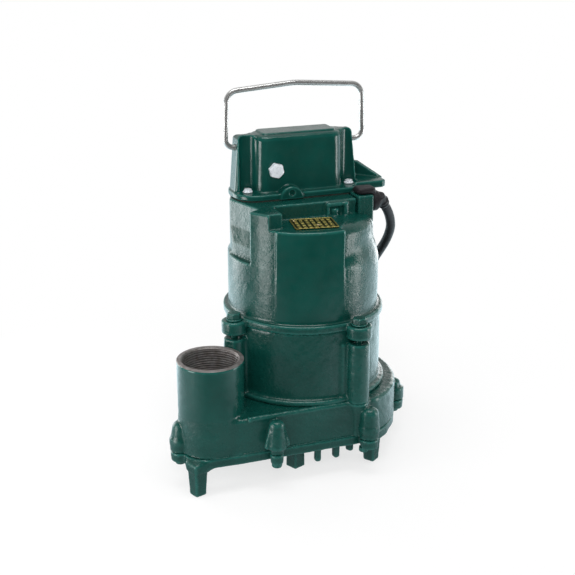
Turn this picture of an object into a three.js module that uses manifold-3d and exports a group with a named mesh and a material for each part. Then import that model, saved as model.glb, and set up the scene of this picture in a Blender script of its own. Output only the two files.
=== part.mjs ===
// A submersible sump pump: cast-iron casings bolted in a stack, a motor on one upright shaft,
// a side discharge with a pipe thread, a wire bail on the cap and a power cord laid in a coil.
// Millimetres, +Z up. Sizes are given about the pump's shaft axis, with the floor at z = 0.
import * as THREE from 'three';
import { mergeVertices } from 'three/addons/utils/BufferGeometryUtils.js';
import Module from 'manifold-3d';

const wasm = await Module();
wasm.setup();

// ---------------------------------------------------------------- driving dimensions
const SEAT = 0.3; // clearance between touching pieces
const BOLT_CLEARANCE = 0.4; // round a bolt in its hole
const PIVOT_CLEARANCE = 0.6; // round the bail's ends in the cap
const ROUND = 34; // facets round a casting
const POST = 12; // round a post, boss or bearing
const SMALL = 8; // round a screw or its hole
const FINE = 28; // round a bore, bearing or winding
const OVER = 1; // how far a cutter or a joined piece runs past a face

// stack of castings, from the floor up
const LEG_HEIGHT = 26.2;
const BASE_PLATE = 8.3;
const GASKET = 0.8;
const GASKET_GAP = 0.1; // over and under a gasket
const GASKET_INSET = 1; // its edge lies this far inside the castings'
const VOLUTE_HEIGHT = 32.6;
const ADAPTER_HEIGHT = 68.9;
const HOUSING_HEIGHT = 98.6;
const CAP_FLANGE = 5.1;
const CAP_HEIGHT = 49.2; // above its flange
const CAP_PLATEAU = 2;

// volute and its discharge
const VOLUTE_RIM = 18.1; // the volute's round side stands out of the motor housing
const VOLUTE_FRONT_RIM = 8.1; // and so does its flat front
const VOLUTE_WALL = 6.5;
const VOLUTE_TOP = 6.2;
const SPIGOT_WALL = 8;
const SPIGOT_LAND = 20; // from the volute's inner wall in to the adapter's spigot
const DISCHARGE_INSET = 11; // the discharge boss reaches this far into the volute's round side
const DISCHARGE_RISE = 48.5; // above the volute's top
const PIPE_BORE = 24; // radius, 1 1/2 inch pipe thread
const BOSS_WALL = 4.2;
const RIM_WALL = 5.4;
const RIM_HEIGHT = 6;
const PIPE_DEPTH = 26;
const CHANNEL_STEP = 4; // from the pipe bore in to the water channel
const EYE_RADIUS = 24; // inlet in the base plate

// adapter and motor housing
const MOTOR_RADIUS = 67.2; // the housing, at its foot
const HOUSING_STEP = 3; // the housing is this much slimmer at its top
const HOUSING_STEP_AT = [46, 54]; // from and to, over the housing's lower edge
const HOUSING_WALL = 5.6;
const LIP_STEP = 4.4; // out of the housing
const LIP_HEIGHT = 10;
const LIP_EDGE = 1.5;
const ADAPTER_STEP = 3.4; // out of the housing
const ADAPTER_RING = 4.4; // thick foot ring
const ADAPTER_RING_STEP = 4; // out of the adapter
const ADAPTER_FLOOR = 9;
const LEDGE_DROP = 13; // nameplate ledge, below the housing's top
const LEDGE_BACK = 20.8; // the ledge's rear wall, in front of the axis
const LEDGE_LEFT = 36;
const LEDGE_SIDE = 2; // the ledge's right part runs back to here
const WIRE_HOLE = [30, 5]; // x and radius of the hole for the motor's wires
const PANEL_TURN = -9; // degrees
const PANEL_INSET = 2.8; // from the housing's foot radius in to the panel's flat face
const PANEL_WIDTH = 53;
const PANEL_SHIFT = -4;

// through bolts on four ears
const BOLT_REACH = 6.4; // from the adapter's wall out to the bolts
const BOLT_START = 18; // degrees
const BOLT_RADIUS = 3;
const BOLT_HEAD = 6.4;
const BOLT_HEAD_HEIGHT = 6;
const EAR_RADIUS = 11;
const EAR_HEIGHT = 11.5;
const EAR_TOP = 1.5; // above the lip's lower edge
const BOLT_PAD = 12; // depth of the bolts' pads in the volute
const COLUMN_RADIUS = 9.6;
const COLUMN_GAP = 5; // open slot under each ear

// screw lugs round the volute, each ending in its upright height on the volute
const FRONT_LUGS = [[27, 5.7, 32], [-55, 6.7, 29]]; // x, overhang past the flat front
const DISCHARGE_LUG = [-28.5, 1.1, 28]; // x and y from the discharge's middle
const ROUND_LUGS = [[-9, 3.8, 29], [40, 3.4, 29], [104.4, 3.5, 29]]; // degrees, overhang
const BELT_LUG = [0.51, 3.6, 29]; // share of the straight rear side, overhang
const LUG_RADIUS = 9.6;
const LUG_DOME = 6;
const LUG_SCREW_RADIUS = 2.6;
const LUG_SCREW_DEPTH = 18;
const LUG_SCREW_HEAD = 4.6;
const LUG_SCREW_HEAD_HEIGHT = 3.6;

// inlet strainer teeth and the legs
const TEETH = 18;
const TEETH_RADIUS = 53;
const TOOTH_WIDTH = 6.4;
const TOOTH_DEPTH = 7;
const TOOTH_GROUND = 4.6;
const TOOTH_START = THREE.MathUtils.degToRad(-116);
const MIDDLE_LEG_WIDTH = 14;
const LEG_LOW = 7.6; // half width on the floor
const LEG_HIGH = 10.6; // half width at the plate
const DISCHARGE_LEG = [-16.7, -19.9, 20]; // x and y from the discharge's middle, turn in degrees
const ROUND_LEGS = [[-52.1, 9.8, 35], [52.3, 9.5, -35], [137.9, 1.8, 42]]; // degrees, inset, turn

// cap, its screws, its plug bolt, its side lug and the bail
const CAP_Y = 20.6;
const CAP_HALF = 60;
const CAP_DEPTH = 25.6;
const CAP_CORNER = 21;
const BLOCK_INSET = [19.5, 8.6]; // middle block, in from the flange's end and side
const CHEEK_INSET = [6, 16]; // cheeks that hold the bail
const CAP_EDGE = 3;
const CAP_WALL = 4.2;
const CAP_SCREW = [12.2, 15.4, 2.4, 4.4]; // in from the flange's end and side, shank and head radius
const CAP_SCREW_HEAD_HEIGHT = 2.6;
const CAP_SCREW_DEPTH = 8; // in the housing
const CAP_NOTCH = 7.2;
const PLUG_BOLT = [-24.6, 19.6, 6.6, 3.4]; // x, height over the flange, head radius, shank radius
const PLUG_BOLT_HEAD_HEIGHT = 4.6;
const BADGE = [-12.6, 11, 1.4]; // half-round boss on the cap's front: x, radius, overhang
const SIDE_LUG = [[-12, 0.7], [17, 0.7], [20.6, 3.6], [20.6, 12], [3, 31.4], [-6, 36]]; // x past the flange
const SIDE_LUG_THICK = 6.6;
const SIDE_LUG_WEB = [13, 4, 8]; // height, thickness, run into the cheek
const TERMINAL_BLOCK = [-24, 18, 8, 14]; // x from and to, half depth, height
const BAIL_PIVOT = 38.7; // above the flange's top
const BAIL_WIRE = 2.4;
const BAIL_FOOT = [10.5, 7.5]; // past the cheek and over the pivot, at the lower bends
const BAIL_SHOULDER = [8.2, 47.2];
const BAIL_PEAK = 52.8;
const BAIL_BORE = 6.5; // depth of the wire in the cap
const BAIL_BEND = 11;

// nameplate on the ledge
const NAMEPLATE = [38, 30, 0.8]; // width, depth, thickness
const NAMEPLATE_AT = [-6.2, -41];
const RIVET = [1.5, 1.1]; // head radius and height
const RIVET_AT = [[0.4, -9], [-15, 9]]; // from the nameplate's middle

// motor
const STATOR_HEIGHT = 48;
const STATOR_LIFT = 14; // over the housing's lower edge
const STATOR_BORE = 33.8;
const AIR_GAP = 0.8;
const WINDING_HEIGHT = 11;
const WINDING_RADII = [37, 53];
const SHAFT_RADIUS = 7;
const SHAFT_THREAD = 5.2;
const SHAFT_CLEARANCE = 1.5;
const BEARING_WALL = 5;
const UPPER_BEARING = [13, 8]; // outer radius, width
const LOWER_BEARING = [16, 10];
const ROTOR_RING = 6;

// shaft seal and impeller
const SEAL_RADIUS = 12.6;
const SEAL_SEAT_HEIGHT = 5.4;
const SEAL_HEAD_HEIGHT = 8;
const SEAL_SPRING = [9.6, 0.8, 4]; // mean radius, wire radius, coils
const IMPELLER_RADIUS = 50;
const IMPELLER_DISC = 4;
const IMPELLER_BLADE = 13;
const IMPELLER_BLADES = 6;
const IMPELLER_BLADE_THICK = 3.4;
const IMPELLER_HUB = 11;

// gland block on the ledge, strain relief and power cord
const GLAND_BLOCK = [-17.6, -3, -25, -5.4]; // x from and to past the flange's end, y from and to
const GLAND_BLOCK_HEIGHT = 15.2;
const RELIEF_AT = [-14.2, 7.9]; // y and height over the ledge of the round moulding's middle
const RELIEF_RADIUS = 10.8;
const RELIEF_LENGTH = 10;
const RELIEF_TONGUE = [5.4, 8]; // height and half width of the tongue on the block
const RELIEF_STUB = 4.6; // radius inside the block
const RELIEF_NOSE = [12, 7.6, 5.6]; // length, root and tip radius
const CORD_RADIUS = 4.25;
const CORD_ROUTE = [
  [72.5, -13.4, 226], [76.7, -10.7, 220.4], [82, -5.6, 211.6], [85.8, 0, 201.6],
  [87.2, 7, 191], [86.9, 15, 180.2], [86, 24, 169.6], [84.8, 36, 155],
  [83.9, 46.4, 135], [83.5, 55, 108], [83, 61, 74], [83.5, 64.9, 38.5], [85.8, 71.2, 22.6],
  [90.3, 83, 10.8], [97.2, 101.5, 5], [101.2, 112.2, 4.6], [103.9, 119.5, 4.6],
];
const COIL_TURN = THREE.MathUtils.degToRad(-20.48); // direction of the coil's first radius
const COIL_OUTER = 65.6;
const COIL_PITCH = 9.3;
const COIL_RISE = 9.2; // between the two layers
const COIL_TURNS = 3.75; // in each layer, besides the climbing half turn
const COIL_STEPS = 24;
const COIL_SIDES = 6;
const CORD_SIDES = 10;
const LEAD_LENGTH = 24; // from the coil to the plug
const PLUG_BODY = [27, 25, 34]; // width, height, length
const PLUG_NECK = 17;
const PLUG_BLADE = [1.5, 6.3, 17];
const PLUG_BLADE_GAP = 12.7;
const PLUG_PIN = 2.4;
const PLUG_BLADE_UP = 3; // over the cord's middle line
const PLUG_PIN_DROP = -7.5;

// ---------------------------------------------------------------- heights worked out
const plateTop = LEG_HEIGHT + BASE_PLATE;
const voluteBottom = plateTop + GASKET;
const voluteTop = voluteBottom + VOLUTE_HEIGHT;
const rimTop = voluteTop + DISCHARGE_RISE;
const adapterTop = voluteTop + SEAT + ADAPTER_HEIGHT;
const housingBottom = adapterTop + GASKET;
const housingTop = housingBottom + HOUSING_HEIGHT;
const ledgeTop = housingTop - LEDGE_DROP;
const flangeBottom = housingTop + GASKET;
const flangeTop = flangeBottom + CAP_FLANGE;
const capTop = flangeTop + CAP_HEIGHT;
const pivotHeight = flangeTop + BAIL_PIVOT;
const earTop = housingBottom + EAR_TOP;
const earBottom = earTop - EAR_HEIGHT;
const columnTop = earBottom - COLUMN_GAP;
const reliefHeight = ledgeTop + RELIEF_AT[1];
const adapterFloor = voluteTop + SEAT + ADAPTER_RING;
const chamberBottom = adapterFloor + ADAPTER_FLOOR;
const lowerBearingTop = chamberBottom + LOWER_BEARING[1] + 2;
const stackBottom = housingBottom + STATOR_LIFT;
const stackTop = stackBottom + STATOR_HEIGHT;
const upperBearingBottom = stackTop + ROTOR_RING + 4;
const impellerTop = voluteTop - VOLUTE_TOP - 3;
const motorBoreTop = ledgeTop - 6;
const sealSeatBottom = chamberBottom - 1 - SEAT - SEAL_SEAT_HEIGHT;
const sealHeadBottom = sealSeatBottom - SEAT - SEAL_HEAD_HEIGHT;

// ---------------------------------------------------------------- radii and places worked out
const housingTopRadius = MOTOR_RADIUS - HOUSING_STEP;
const lipRadius = MOTOR_RADIUS + LIP_STEP;
const adapterRadius = MOTOR_RADIUS + ADAPTER_STEP;
const boltCircle = adapterRadius + BOLT_REACH;
const voluteRadius = MOTOR_RADIUS + VOLUTE_RIM;
const voluteFront = MOTOR_RADIUS + VOLUTE_FRONT_RIM;
const cavityRadius = voluteFront - VOLUTE_WALL;
const spigotHole = cavityRadius - SPIGOT_LAND;
const bossRadius = PIPE_BORE + BOSS_WALL;
const rimRadius = PIPE_BORE + RIM_WALL;
const channelRadius = PIPE_BORE - CHANNEL_STEP;
const dischargeX = -(voluteRadius + bossRadius - DISCHARGE_INSET);
const dischargeY = bossRadius - voluteFront;
const motorBore = MOTOR_RADIUS - HOUSING_WALL - 3.2;
const blockHalf = [CAP_HALF - BLOCK_INSET[0], CAP_DEPTH - BLOCK_INSET[1]];
const cheekHalf = [CAP_HALF - CHEEK_INSET[0], CAP_DEPTH - CHEEK_INSET[1]];
const glandX = [CAP_HALF + GLAND_BLOCK[0], CAP_HALF + GLAND_BLOCK[1]];
const FAR = voluteRadius + 40; // past every casting

// ---------------------------------------------------------------- solids
function solid(geometry) {
  const bare = geometry.clone();
  bare.deleteAttribute('normal');
  bare.deleteAttribute('uv');
  const merged = mergeVertices(bare, 1e-4);
  return new wasm.Manifold(new wasm.Mesh({
    numProp: 3,
    vertProperties: new Float32Array(merged.attributes.position.array),
    triVerts: new Uint32Array(merged.index.array),
  }));
}

function geometryOf(shape) {
  const mesh = shape.getMesh();
  const geometry = new THREE.BufferGeometry();
  geometry.setAttribute('position', new THREE.BufferAttribute(mesh.vertProperties, 3));
  geometry.setIndex(new THREE.BufferAttribute(mesh.triVerts, 1));
  return geometry;
}

const join = (first, ...rest) => rest.reduce((sum, each) => sum.add(each), first);
const cut = (first, ...rest) => rest.reduce((left, each) => left.subtract(each), first);

function box(x0, x1, y0, y1, z0, z1) {
  const geometry = new THREE.BoxGeometry(x1 - x0, y1 - y0, z1 - z0);
  geometry.translate((x0 + x1) / 2, (y0 + y1) / 2, (z0 + z1) / 2);
  return solid(geometry);
}

function cone(x, y, z0, z1, low, high, sides = POST, turn = 0) {
  const geometry = new THREE.CylinderGeometry(high, low, z1 - z0, sides);
  geometry.rotateX(Math.PI / 2);
  geometry.rotateZ(turn);
  geometry.translate(x, y, (z0 + z1) / 2);
  return solid(geometry);
}

const rod = (x, y, z0, z1, radius, sides = POST) => cone(x, y, z0, z1, radius, radius, sides);

// a rod lying along X or Y
function barX(x0, x1, y, z, radius, sides = POST) {
  const geometry = new THREE.CylinderGeometry(radius, radius, x1 - x0, sides);
  geometry.rotateZ(Math.PI / 2);
  geometry.translate((x0 + x1) / 2, y, z);
  return solid(geometry);
}

function barY(x, y0, y1, z, radius, sides = POST) {
  const geometry = new THREE.CylinderGeometry(radius, radius, y1 - y0, sides);
  geometry.translate(x, (y0 + y1) / 2, z);
  return solid(geometry);
}

// a cone between two points, with its end faces square to its length
function taper(from, to, rootRadius, tipRadius, sides = 16) {
  const along = to.clone().sub(from);
  const geometry = new THREE.CylinderGeometry(tipRadius, rootRadius, along.length(), sides);
  const middle = from.clone().addScaledVector(along, 0.5);
  geometry.applyQuaternion(new THREE.Quaternion().setFromUnitVectors(
    new THREE.Vector3(0, 1, 0), along.normalize()));
  geometry.translate(middle.x, middle.y, middle.z);
  return solid(geometry);
}

// a profile of [radius, height] pairs turned about the shaft axis; it starts and ends on the axis
function turned(profile, sides = ROUND) {
  const points = [...profile].map(([radius, height]) => new THREE.Vector2(radius, height));
  const geometry = new THREE.LatheGeometry(points, sides);
  geometry.rotateX(Math.PI / 2);
  return solid(geometry);
}

function ring(inner, outer, z0, z1, sides = FINE) {
  return cut(rod(0, 0, z0, z1, outer, sides), rod(0, 0, z0 - OVER, z1 + OVER, inner, sides));
}

function prism(shape, z0, z1, curveSegments = 9) {
  const geometry = new THREE.ExtrudeGeometry(shape, {
    depth: z1 - z0, bevelEnabled: false, curveSegments,
  });
  geometry.translate(0, 0, z0);
  return solid(geometry);
}

function outline(points) {
  return new THREE.Shape(points.map(([x, y]) => new THREE.Vector2(x, y)));
}

function roundedBox(halfX, halfY, corner) {
  const shape = new THREE.Shape();
  shape.moveTo(halfX, corner - halfY);
  shape.absarc(halfX - corner, halfY - corner, corner, 0, Math.PI / 2);
  shape.absarc(corner - halfX, halfY - corner, corner, Math.PI / 2, Math.PI);
  shape.absarc(corner - halfX, corner - halfY, corner, Math.PI, Math.PI * 1.5);
  shape.absarc(halfX - corner, corner - halfY, corner, Math.PI * 1.5, Math.PI * 2);
  return shape;
}

// a prism of a round-cornered box, with its top edge broken
function block(halfX, halfY, corner, z0, z1, edge) {
  const geometry = new THREE.ExtrudeGeometry(roundedBox(halfX, halfY, corner), {
    depth: z1 - z0 - 2 * edge,
    bevelEnabled: true,
    bevelThickness: edge,
    bevelSize: edge,
    bevelOffset: -edge,
    bevelSegments: 1,
    curveSegments: 2,
  });
  geometry.translate(0, CAP_Y, z0 + edge);
  return solid(geometry);
}

// the plan of the volute: a round casing, a flat front and a belt round to the discharge
const rearBearing = (round, boss) => Math.atan2(dischargeY, dischargeX) + 2 * Math.PI
  - Math.acos((round - boss) / Math.hypot(dischargeX, dischargeY));

function voluteOutline(round, boss) {
  const rear = rearBearing(round, boss);
  const frontY = dischargeY - boss;
  const front = Math.asin(Math.max(frontY / round, -1));
  const shape = new THREE.Shape();
  shape.moveTo(dischargeX, frontY);
  shape.lineTo(round * Math.cos(front), round * Math.sin(front));
  shape.absarc(0, 0, round, front, rear, false);
  shape.absarc(dischargeX, dischargeY, boss, rear, Math.PI * 1.5, false);
  return shape;
}

function polar(radius, degrees) {
  const angle = THREE.MathUtils.degToRad(degrees);
  return [radius * Math.cos(angle), radius * Math.sin(angle)];
}

// a place along the straight rear side of the volute, from the discharge to the round side
function beltPlace(share, overhang) {
  const normal = rearBearing(voluteRadius, bossRadius);
  const [across, along] = [Math.cos(normal), Math.sin(normal)];
  const boss = [dischargeX + bossRadius * across, dischargeY + bossRadius * along];
  const round = [voluteRadius * across, voluteRadius * along];
  return [
    boss[0] + (round[0] - boss[0]) * share + overhang * across,
    boss[1] + (round[1] - boss[1]) * share + overhang * along,
  ];
}

const lugs = [
  ...FRONT_LUGS.map(([x, overhang, height]) => [x, -voluteFront - overhang, height]),
  [dischargeX + DISCHARGE_LUG[0], dischargeY + DISCHARGE_LUG[1], DISCHARGE_LUG[2]],
  ...ROUND_LUGS.map(([degrees, overhang, height]) => [...polar(voluteRadius + overhang, degrees), height]),
  [...beltPlace(BELT_LUG[0], BELT_LUG[1]), BELT_LUG[2]],
];
const legs = [
  [dischargeX + DISCHARGE_LEG[0], dischargeY + DISCHARGE_LEG[1], DISCHARGE_LEG[2]],
  ...ROUND_LEGS.map(([degrees, inset, turn]) => [...polar(voluteRadius - inset, degrees), turn]),
];
const boltPlaces = [0, 1, 2, 3].map((index) => polar(boltCircle, BOLT_START + index * 90));
const screwX = CAP_HALF - CAP_SCREW[0];
const screwY = CAP_DEPTH - CAP_SCREW[1];
const screwPlaces = [
  [-screwX, CAP_Y - screwY], [screwX, CAP_Y - screwY], [screwX, CAP_Y + screwY], [-screwX, CAP_Y + screwY],
];

// shank holes on every bolt or screw place
const holesAt = (places, z0, z1, shank) => places.map(([x, y]) => rod(x, y, z0, z1,
  shank + BOLT_CLEARANCE, SMALL));
const capHollow = (z0, z1) => box(CAP_WALL - blockHalf[0], blockHalf[0] - CAP_WALL,
  CAP_Y + CAP_WALL - blockHalf[1], CAP_Y + blockHalf[1] - CAP_WALL, z0, z1);
const flangeAt = (grow, z0, z1) => prism(
  roundedBox(CAP_HALF + grow, CAP_DEPTH + grow, CAP_CORNER + grow), z0, z1, 3).translate([0, CAP_Y, 0]);

// a tube along points, with faces square to its ends
function tube(points, radius, sides, steps, tension = 0.5) {
  const path = new THREE.CatmullRomCurve3(points, false, 'centripetal', tension);
  const section = new THREE.Shape();
  for (let side = 0; side < sides; side += 1) {
    const angle = (side / sides) * 2 * Math.PI;
    section[side ? 'lineTo' : 'moveTo'](radius * Math.cos(angle), radius * Math.sin(angle));
  }
  section.closePath();
  return new THREE.ExtrudeGeometry(section, { steps, bevelEnabled: false, extrudePath: path });
}

// ---------------------------------------------------------------- the group
const pump = new THREE.Group();
const finishes = {
  enamel: [0x0f4a3c, 0.3, 0.1], machined: [0x8a827b, 0.45, 0.8], stainless: [0xb9bdc0, 0.28, 0.95],
  zinc: [0xc9d2d8, 0.35, 0.85], brass: [0x9a8a3c, 0.4, 0.8], rubber: [0x17191b, 0.6, 0],
  fibre: [0x3b3a34, 0.8, 0], copper: [0xa4572c, 0.4, 0.8], steel: [0x77797c, 0.4, 0.8],
  carbon: [0x2a2a2c, 0.5, 0.2],
};

function add(name, shape, finish) {
  const geometry = shape.isBufferGeometry ? shape : geometryOf(shape);
  const [color, roughness, metalness] = finishes[finish];
  const mesh = new THREE.Mesh(geometry, new THREE.MeshStandardMaterial({ color, roughness, metalness }));
  mesh.name = name;
  pump.add(mesh);
  return mesh;
}

// ---------------------------------------------------------------- base plate
function leg([x, y, degrees]) {
  const size = LEG_HIGH * Math.SQRT2;
  const turn = THREE.MathUtils.degToRad(degrees + 45);
  return cone(x, y, 0, LEG_HEIGHT + OVER, LEG_LOW * Math.SQRT2, size, 4, turn);
}

function tooth(index) {
  const angle = TOOTH_START + (index * 2 * Math.PI) / TEETH;
  const middle = index === 0;
  const width = middle ? MIDDLE_LEG_WIDTH : TOOTH_WIDTH;
  const low = middle ? 0 : TOOTH_GROUND;
  const high = LEG_HEIGHT + OVER;
  const geometry = new THREE.BoxGeometry(TOOTH_DEPTH, width, high - low);
  geometry.rotateZ(angle);
  geometry.translate(TEETH_RADIUS * Math.cos(angle), TEETH_RADIUS * Math.sin(angle), (low + high) / 2);
  return solid(geometry);
}

function basePlate() {
  const plate = prism(voluteOutline(voluteRadius, bossRadius), LEG_HEIGHT, plateTop);
  const pads = lugs.map(([x, y]) => rod(x, y, LEG_HEIGHT, plateTop, LUG_RADIUS - 2 * SEAT));
  const teeth = Array.from({ length: TEETH }, (_, index) => tooth(index));
  const holes = holesAt(lugs, LEG_HEIGHT - OVER, plateTop + OVER, LUG_SCREW_RADIUS);
  const eye = rod(0, 0, LEG_HEIGHT - OVER, plateTop + OVER, EYE_RADIUS, FINE);
  return cut(join(plate, ...pads, ...legs.map(leg), ...teeth), ...holes, eye);
}

function baseGasket() {
  const sheet = prism(voluteOutline(voluteRadius - GASKET_INSET, bossRadius - GASKET_INSET),
    plateTop + GASKET_GAP, voluteBottom - GASKET_GAP);
  const inside = prism(voluteOutline(cavityRadius, bossRadius - VOLUTE_WALL), plateTop, voluteBottom);
  return cut(sheet, inside, ...holesAt(lugs, plateTop, voluteBottom, LUG_SCREW_RADIUS));
}

// ---------------------------------------------------------------- volute with its discharge
function lugPost([x, y, height]) {
  const top = voluteBottom + height;
  return join(
    rod(x, y, voluteBottom, top - LUG_DOME, LUG_RADIUS),
    cone(x, y, top - LUG_DOME - 0.01, top, LUG_RADIUS, LUG_RADIUS - 0.75 * LUG_DOME),
  );
}

function volute() {
  const discharge = (z0, z1, radius) => rod(dischargeX, dischargeY, z0, z1, radius, ROUND);
  const body = prism(voluteOutline(voluteRadius, bossRadius), voluteBottom, voluteTop);
  const boss = discharge(voluteBottom, rimTop - 1, bossRadius);
  const rim = discharge(rimTop - RIM_HEIGHT, rimTop, rimRadius);
  const pads = boltPlaces.map(([x, y]) => rod(x, y, voluteTop - BOLT_PAD, voluteTop, COLUMN_RADIUS));
  const cavityTop = voluteTop - VOLUTE_TOP;
  const cavity = rod(0, 0, voluteBottom - OVER, cavityTop, cavityRadius, ROUND);
  const channel = prism(voluteOutline(channelRadius * 2, channelRadius), voluteBottom - OVER, cavityTop);
  const riser = discharge(cavityTop - OVER, rimTop, channelRadius);
  const thread = discharge(rimTop - PIPE_DEPTH, rimTop + OVER, PIPE_BORE);
  const opening = rod(0, 0, cavityTop - OVER, voluteTop + OVER, spigotHole, ROUND);
  const screws = holesAt(lugs, voluteBottom - OVER, voluteBottom + LUG_SCREW_DEPTH, LUG_SCREW_RADIUS);
  const bolts = holesAt(boltPlaces, voluteTop - BOLT_PAD + 1, voluteTop + OVER, BOLT_RADIUS);
  return cut(join(body, boss, rim, ...lugs.map(lugPost), ...pads), cavity, channel, riser, thread,
    opening, ...screws, ...bolts);
}

// ---------------------------------------------------------------- adapter
function adapter() {
  const bottom = voluteTop + SEAT;
  const wall = rod(0, 0, bottom, adapterTop, adapterRadius, ROUND);
  const foot = rod(0, 0, bottom, bottom + ADAPTER_RING, adapterRadius + ADAPTER_RING_STEP, ROUND);
  const columns = boltPlaces.map(([x, y]) => rod(x, y, bottom, columnTop, COLUMN_RADIUS));
  const spigot = rod(0, 0, bottom - VOLUTE_TOP + 1, bottom + OVER, spigotHole - SEAT, ROUND);
  const chamber = cut(
    rod(0, 0, chamberBottom, adapterTop + OVER, adapterRadius - HOUSING_WALL, ROUND),
    rod(0, 0, chamberBottom - OVER, lowerBearingTop, LOWER_BEARING[0] + BEARING_WALL, FINE),
  );
  const bearing = rod(0, 0, lowerBearingTop - LOWER_BEARING[1] - SEAT, lowerBearingTop + OVER,
    LOWER_BEARING[0] + SEAT, FINE);
  const sealPocket = rod(0, 0, bottom, chamberBottom - 1, SEAL_RADIUS + SEAT, FINE);
  const below = rod(0, 0, bottom - VOLUTE_TOP, bottom + 1, spigotHole - SPIGOT_WALL, ROUND);
  const shaftHole = rod(0, 0, bottom, lowerBearingTop, SHAFT_RADIUS + SHAFT_CLEARANCE);
  const holes = holesAt(boltPlaces, bottom - OVER, columnTop + OVER, BOLT_RADIUS);
  const besideRim = rod(dischargeX, dischargeY, bottom - OVER, columnTop + OVER, rimRadius + SEAT, ROUND);
  return cut(join(wall, foot, ...columns, spigot), chamber, bearing, sealPocket, below, shaftHole,
    besideRim, ...holes);
}

// ---------------------------------------------------------------- motor housing
function ear([x, y]) {
  const lug = rod(x, y, earBottom, earTop, EAR_RADIUS);
  const clear = rod(0, 0, earBottom - OVER, housingBottom, adapterRadius + 0.5, ROUND);
  const inner = rod(0, 0, earBottom - OVER, earTop + OVER, lipRadius - 3, ROUND);
  return cut(lug, clear, inner);
}

function panel() {
  const depth = 12;
  const pad = prism(roundedBox(PANEL_WIDTH / 2, depth, 2), housingBottom + 2, ledgeTop, 2);
  return pad.translate([PANEL_SHIFT, depth + PANEL_INSET - MOTOR_RADIUS, 0]).rotate([0, 0, PANEL_TURN]);
}

function housing() {
  const top = housingTopRadius;
  const lipTop = housingBottom + LIP_HEIGHT;
  const [stepFrom, stepTo] = HOUSING_STEP_AT;
  const shell = turned([
    [0, housingBottom], [lipRadius, housingBottom], [lipRadius, lipTop - LIP_EDGE],
    [lipRadius - LIP_EDGE, lipTop], [MOTOR_RADIUS, lipTop + 2],
    [top + 0.5 * HOUSING_STEP, housingBottom + stepFrom], [top, housingBottom + stepTo],
    [top, housingTop - 2], [top - 2, housingTop], [0, housingTop],
  ], ROUND);
  const ledge = box(-LEDGE_LEFT, FAR, -FAR, -LEDGE_BACK, ledgeTop, housingTop + OVER);
  const side = box(glandX[0] - SEAT, FAR, -FAR, LEDGE_SIDE, ledgeTop, housingTop + OVER);
  const body = join(cut(shell, ledge, side), panel(), ...boltPlaces.map(ear));
  const hubBottom = upperBearingBottom - 1;
  const bore = rod(0, 0, housingBottom - OVER, motorBoreTop, motorBore, ROUND);
  const hub = rod(0, 0, hubBottom, motorBoreTop + 9, UPPER_BEARING[0] + BEARING_WALL, FINE);
  const upper = rod(0, 0, motorBoreTop - OVER, housingTop - 8, top - HOUSING_WALL, ROUND)
    .intersect(box(-FAR, FAR, HOUSING_WALL - LEDGE_BACK, FAR, 0, housingTop));
  const clip = box(-FAR, glandX[0] - SEAT - HOUSING_WALL, -FAR, FAR, 0, housingTop)
    .add(box(-FAR, FAR, LEDGE_SIDE + HOUSING_WALL, FAR, 0, housingTop));
  const bearing = rod(0, 0, upperBearingBottom - 2, upperBearingBottom + UPPER_BEARING[1] + SEAT,
    UPPER_BEARING[0] + SEAT, FINE);
  const shaftHole = rod(0, 0, upperBearingBottom, motorBoreTop + 4, SHAFT_RADIUS + SHAFT_CLEARANCE);
  const wires = rod(WIRE_HOLE[0], CAP_Y, motorBoreTop, housingTop + OVER, WIRE_HOLE[1]);
  const relief = barX(glandX[1] - SEAT, FAR, RELIEF_AT[0], reliefHeight, RELIEF_RADIUS + SEAT, FINE);
  const holes = holesAt(boltPlaces, earBottom - OVER, earTop + OVER, BOLT_RADIUS);
  const screws = holesAt(screwPlaces, housingTop - CAP_SCREW_DEPTH - 1, housingTop + OVER, CAP_SCREW[2]);
  const spots = boltPlaces.map(([x, y]) => rod(x, y, earTop, lipTop + BOLT_HEAD_HEIGHT + 2,
    BOLT_HEAD + 2 * SEAT));
  const hollow = cut(join(bore, upper.intersect(clip)), hub);
  return cut(body, hollow, bearing, shaftHole, wires, relief, ...holes, ...spots, ...screws);
}

// ---------------------------------------------------------------- cap and side lug
function sideLug() {
  const bottom = flangeBottom + 0.8;
  const top = bottom + SIDE_LUG_THICK;
  const plan = SIDE_LUG.map(([x, y]) => [CAP_HALF + x, y]);
  const plate = prism(outline(plan), bottom, top);
  const [[tipX, tipY], [rootX, rootY]] = [plan[3], plan[4]];
  const [webHeight, webThick, webRun] = SIDE_LUG_WEB;
  const length = Math.hypot(rootX - tipX, rootY - tipY);
  const profile = outline([[0, top - 0.5], [length + webRun, top - 0.5],
    [length + webRun, top + webHeight], [length, top + webHeight], [0, top + 0.5]]);
  const geometry = new THREE.ExtrudeGeometry(profile, { depth: webThick, bevelEnabled: false });
  geometry.rotateX(Math.PI / 2);
  geometry.rotateZ(Math.atan2(rootY - tipY, rootX - tipX));
  geometry.translate(tipX, tipY, 0);
  return plate.add(solid(geometry));
}

function pivotBore(side) {
  const inner = cheekHalf[0] - BAIL_BORE - 2;
  const [from, to] = side < 0 ? [-FAR, -inner] : [inner, FAR];
  return barX(from, to, CAP_Y, pivotHeight, BAIL_WIRE + PIVOT_CLEARANCE);
}

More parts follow.
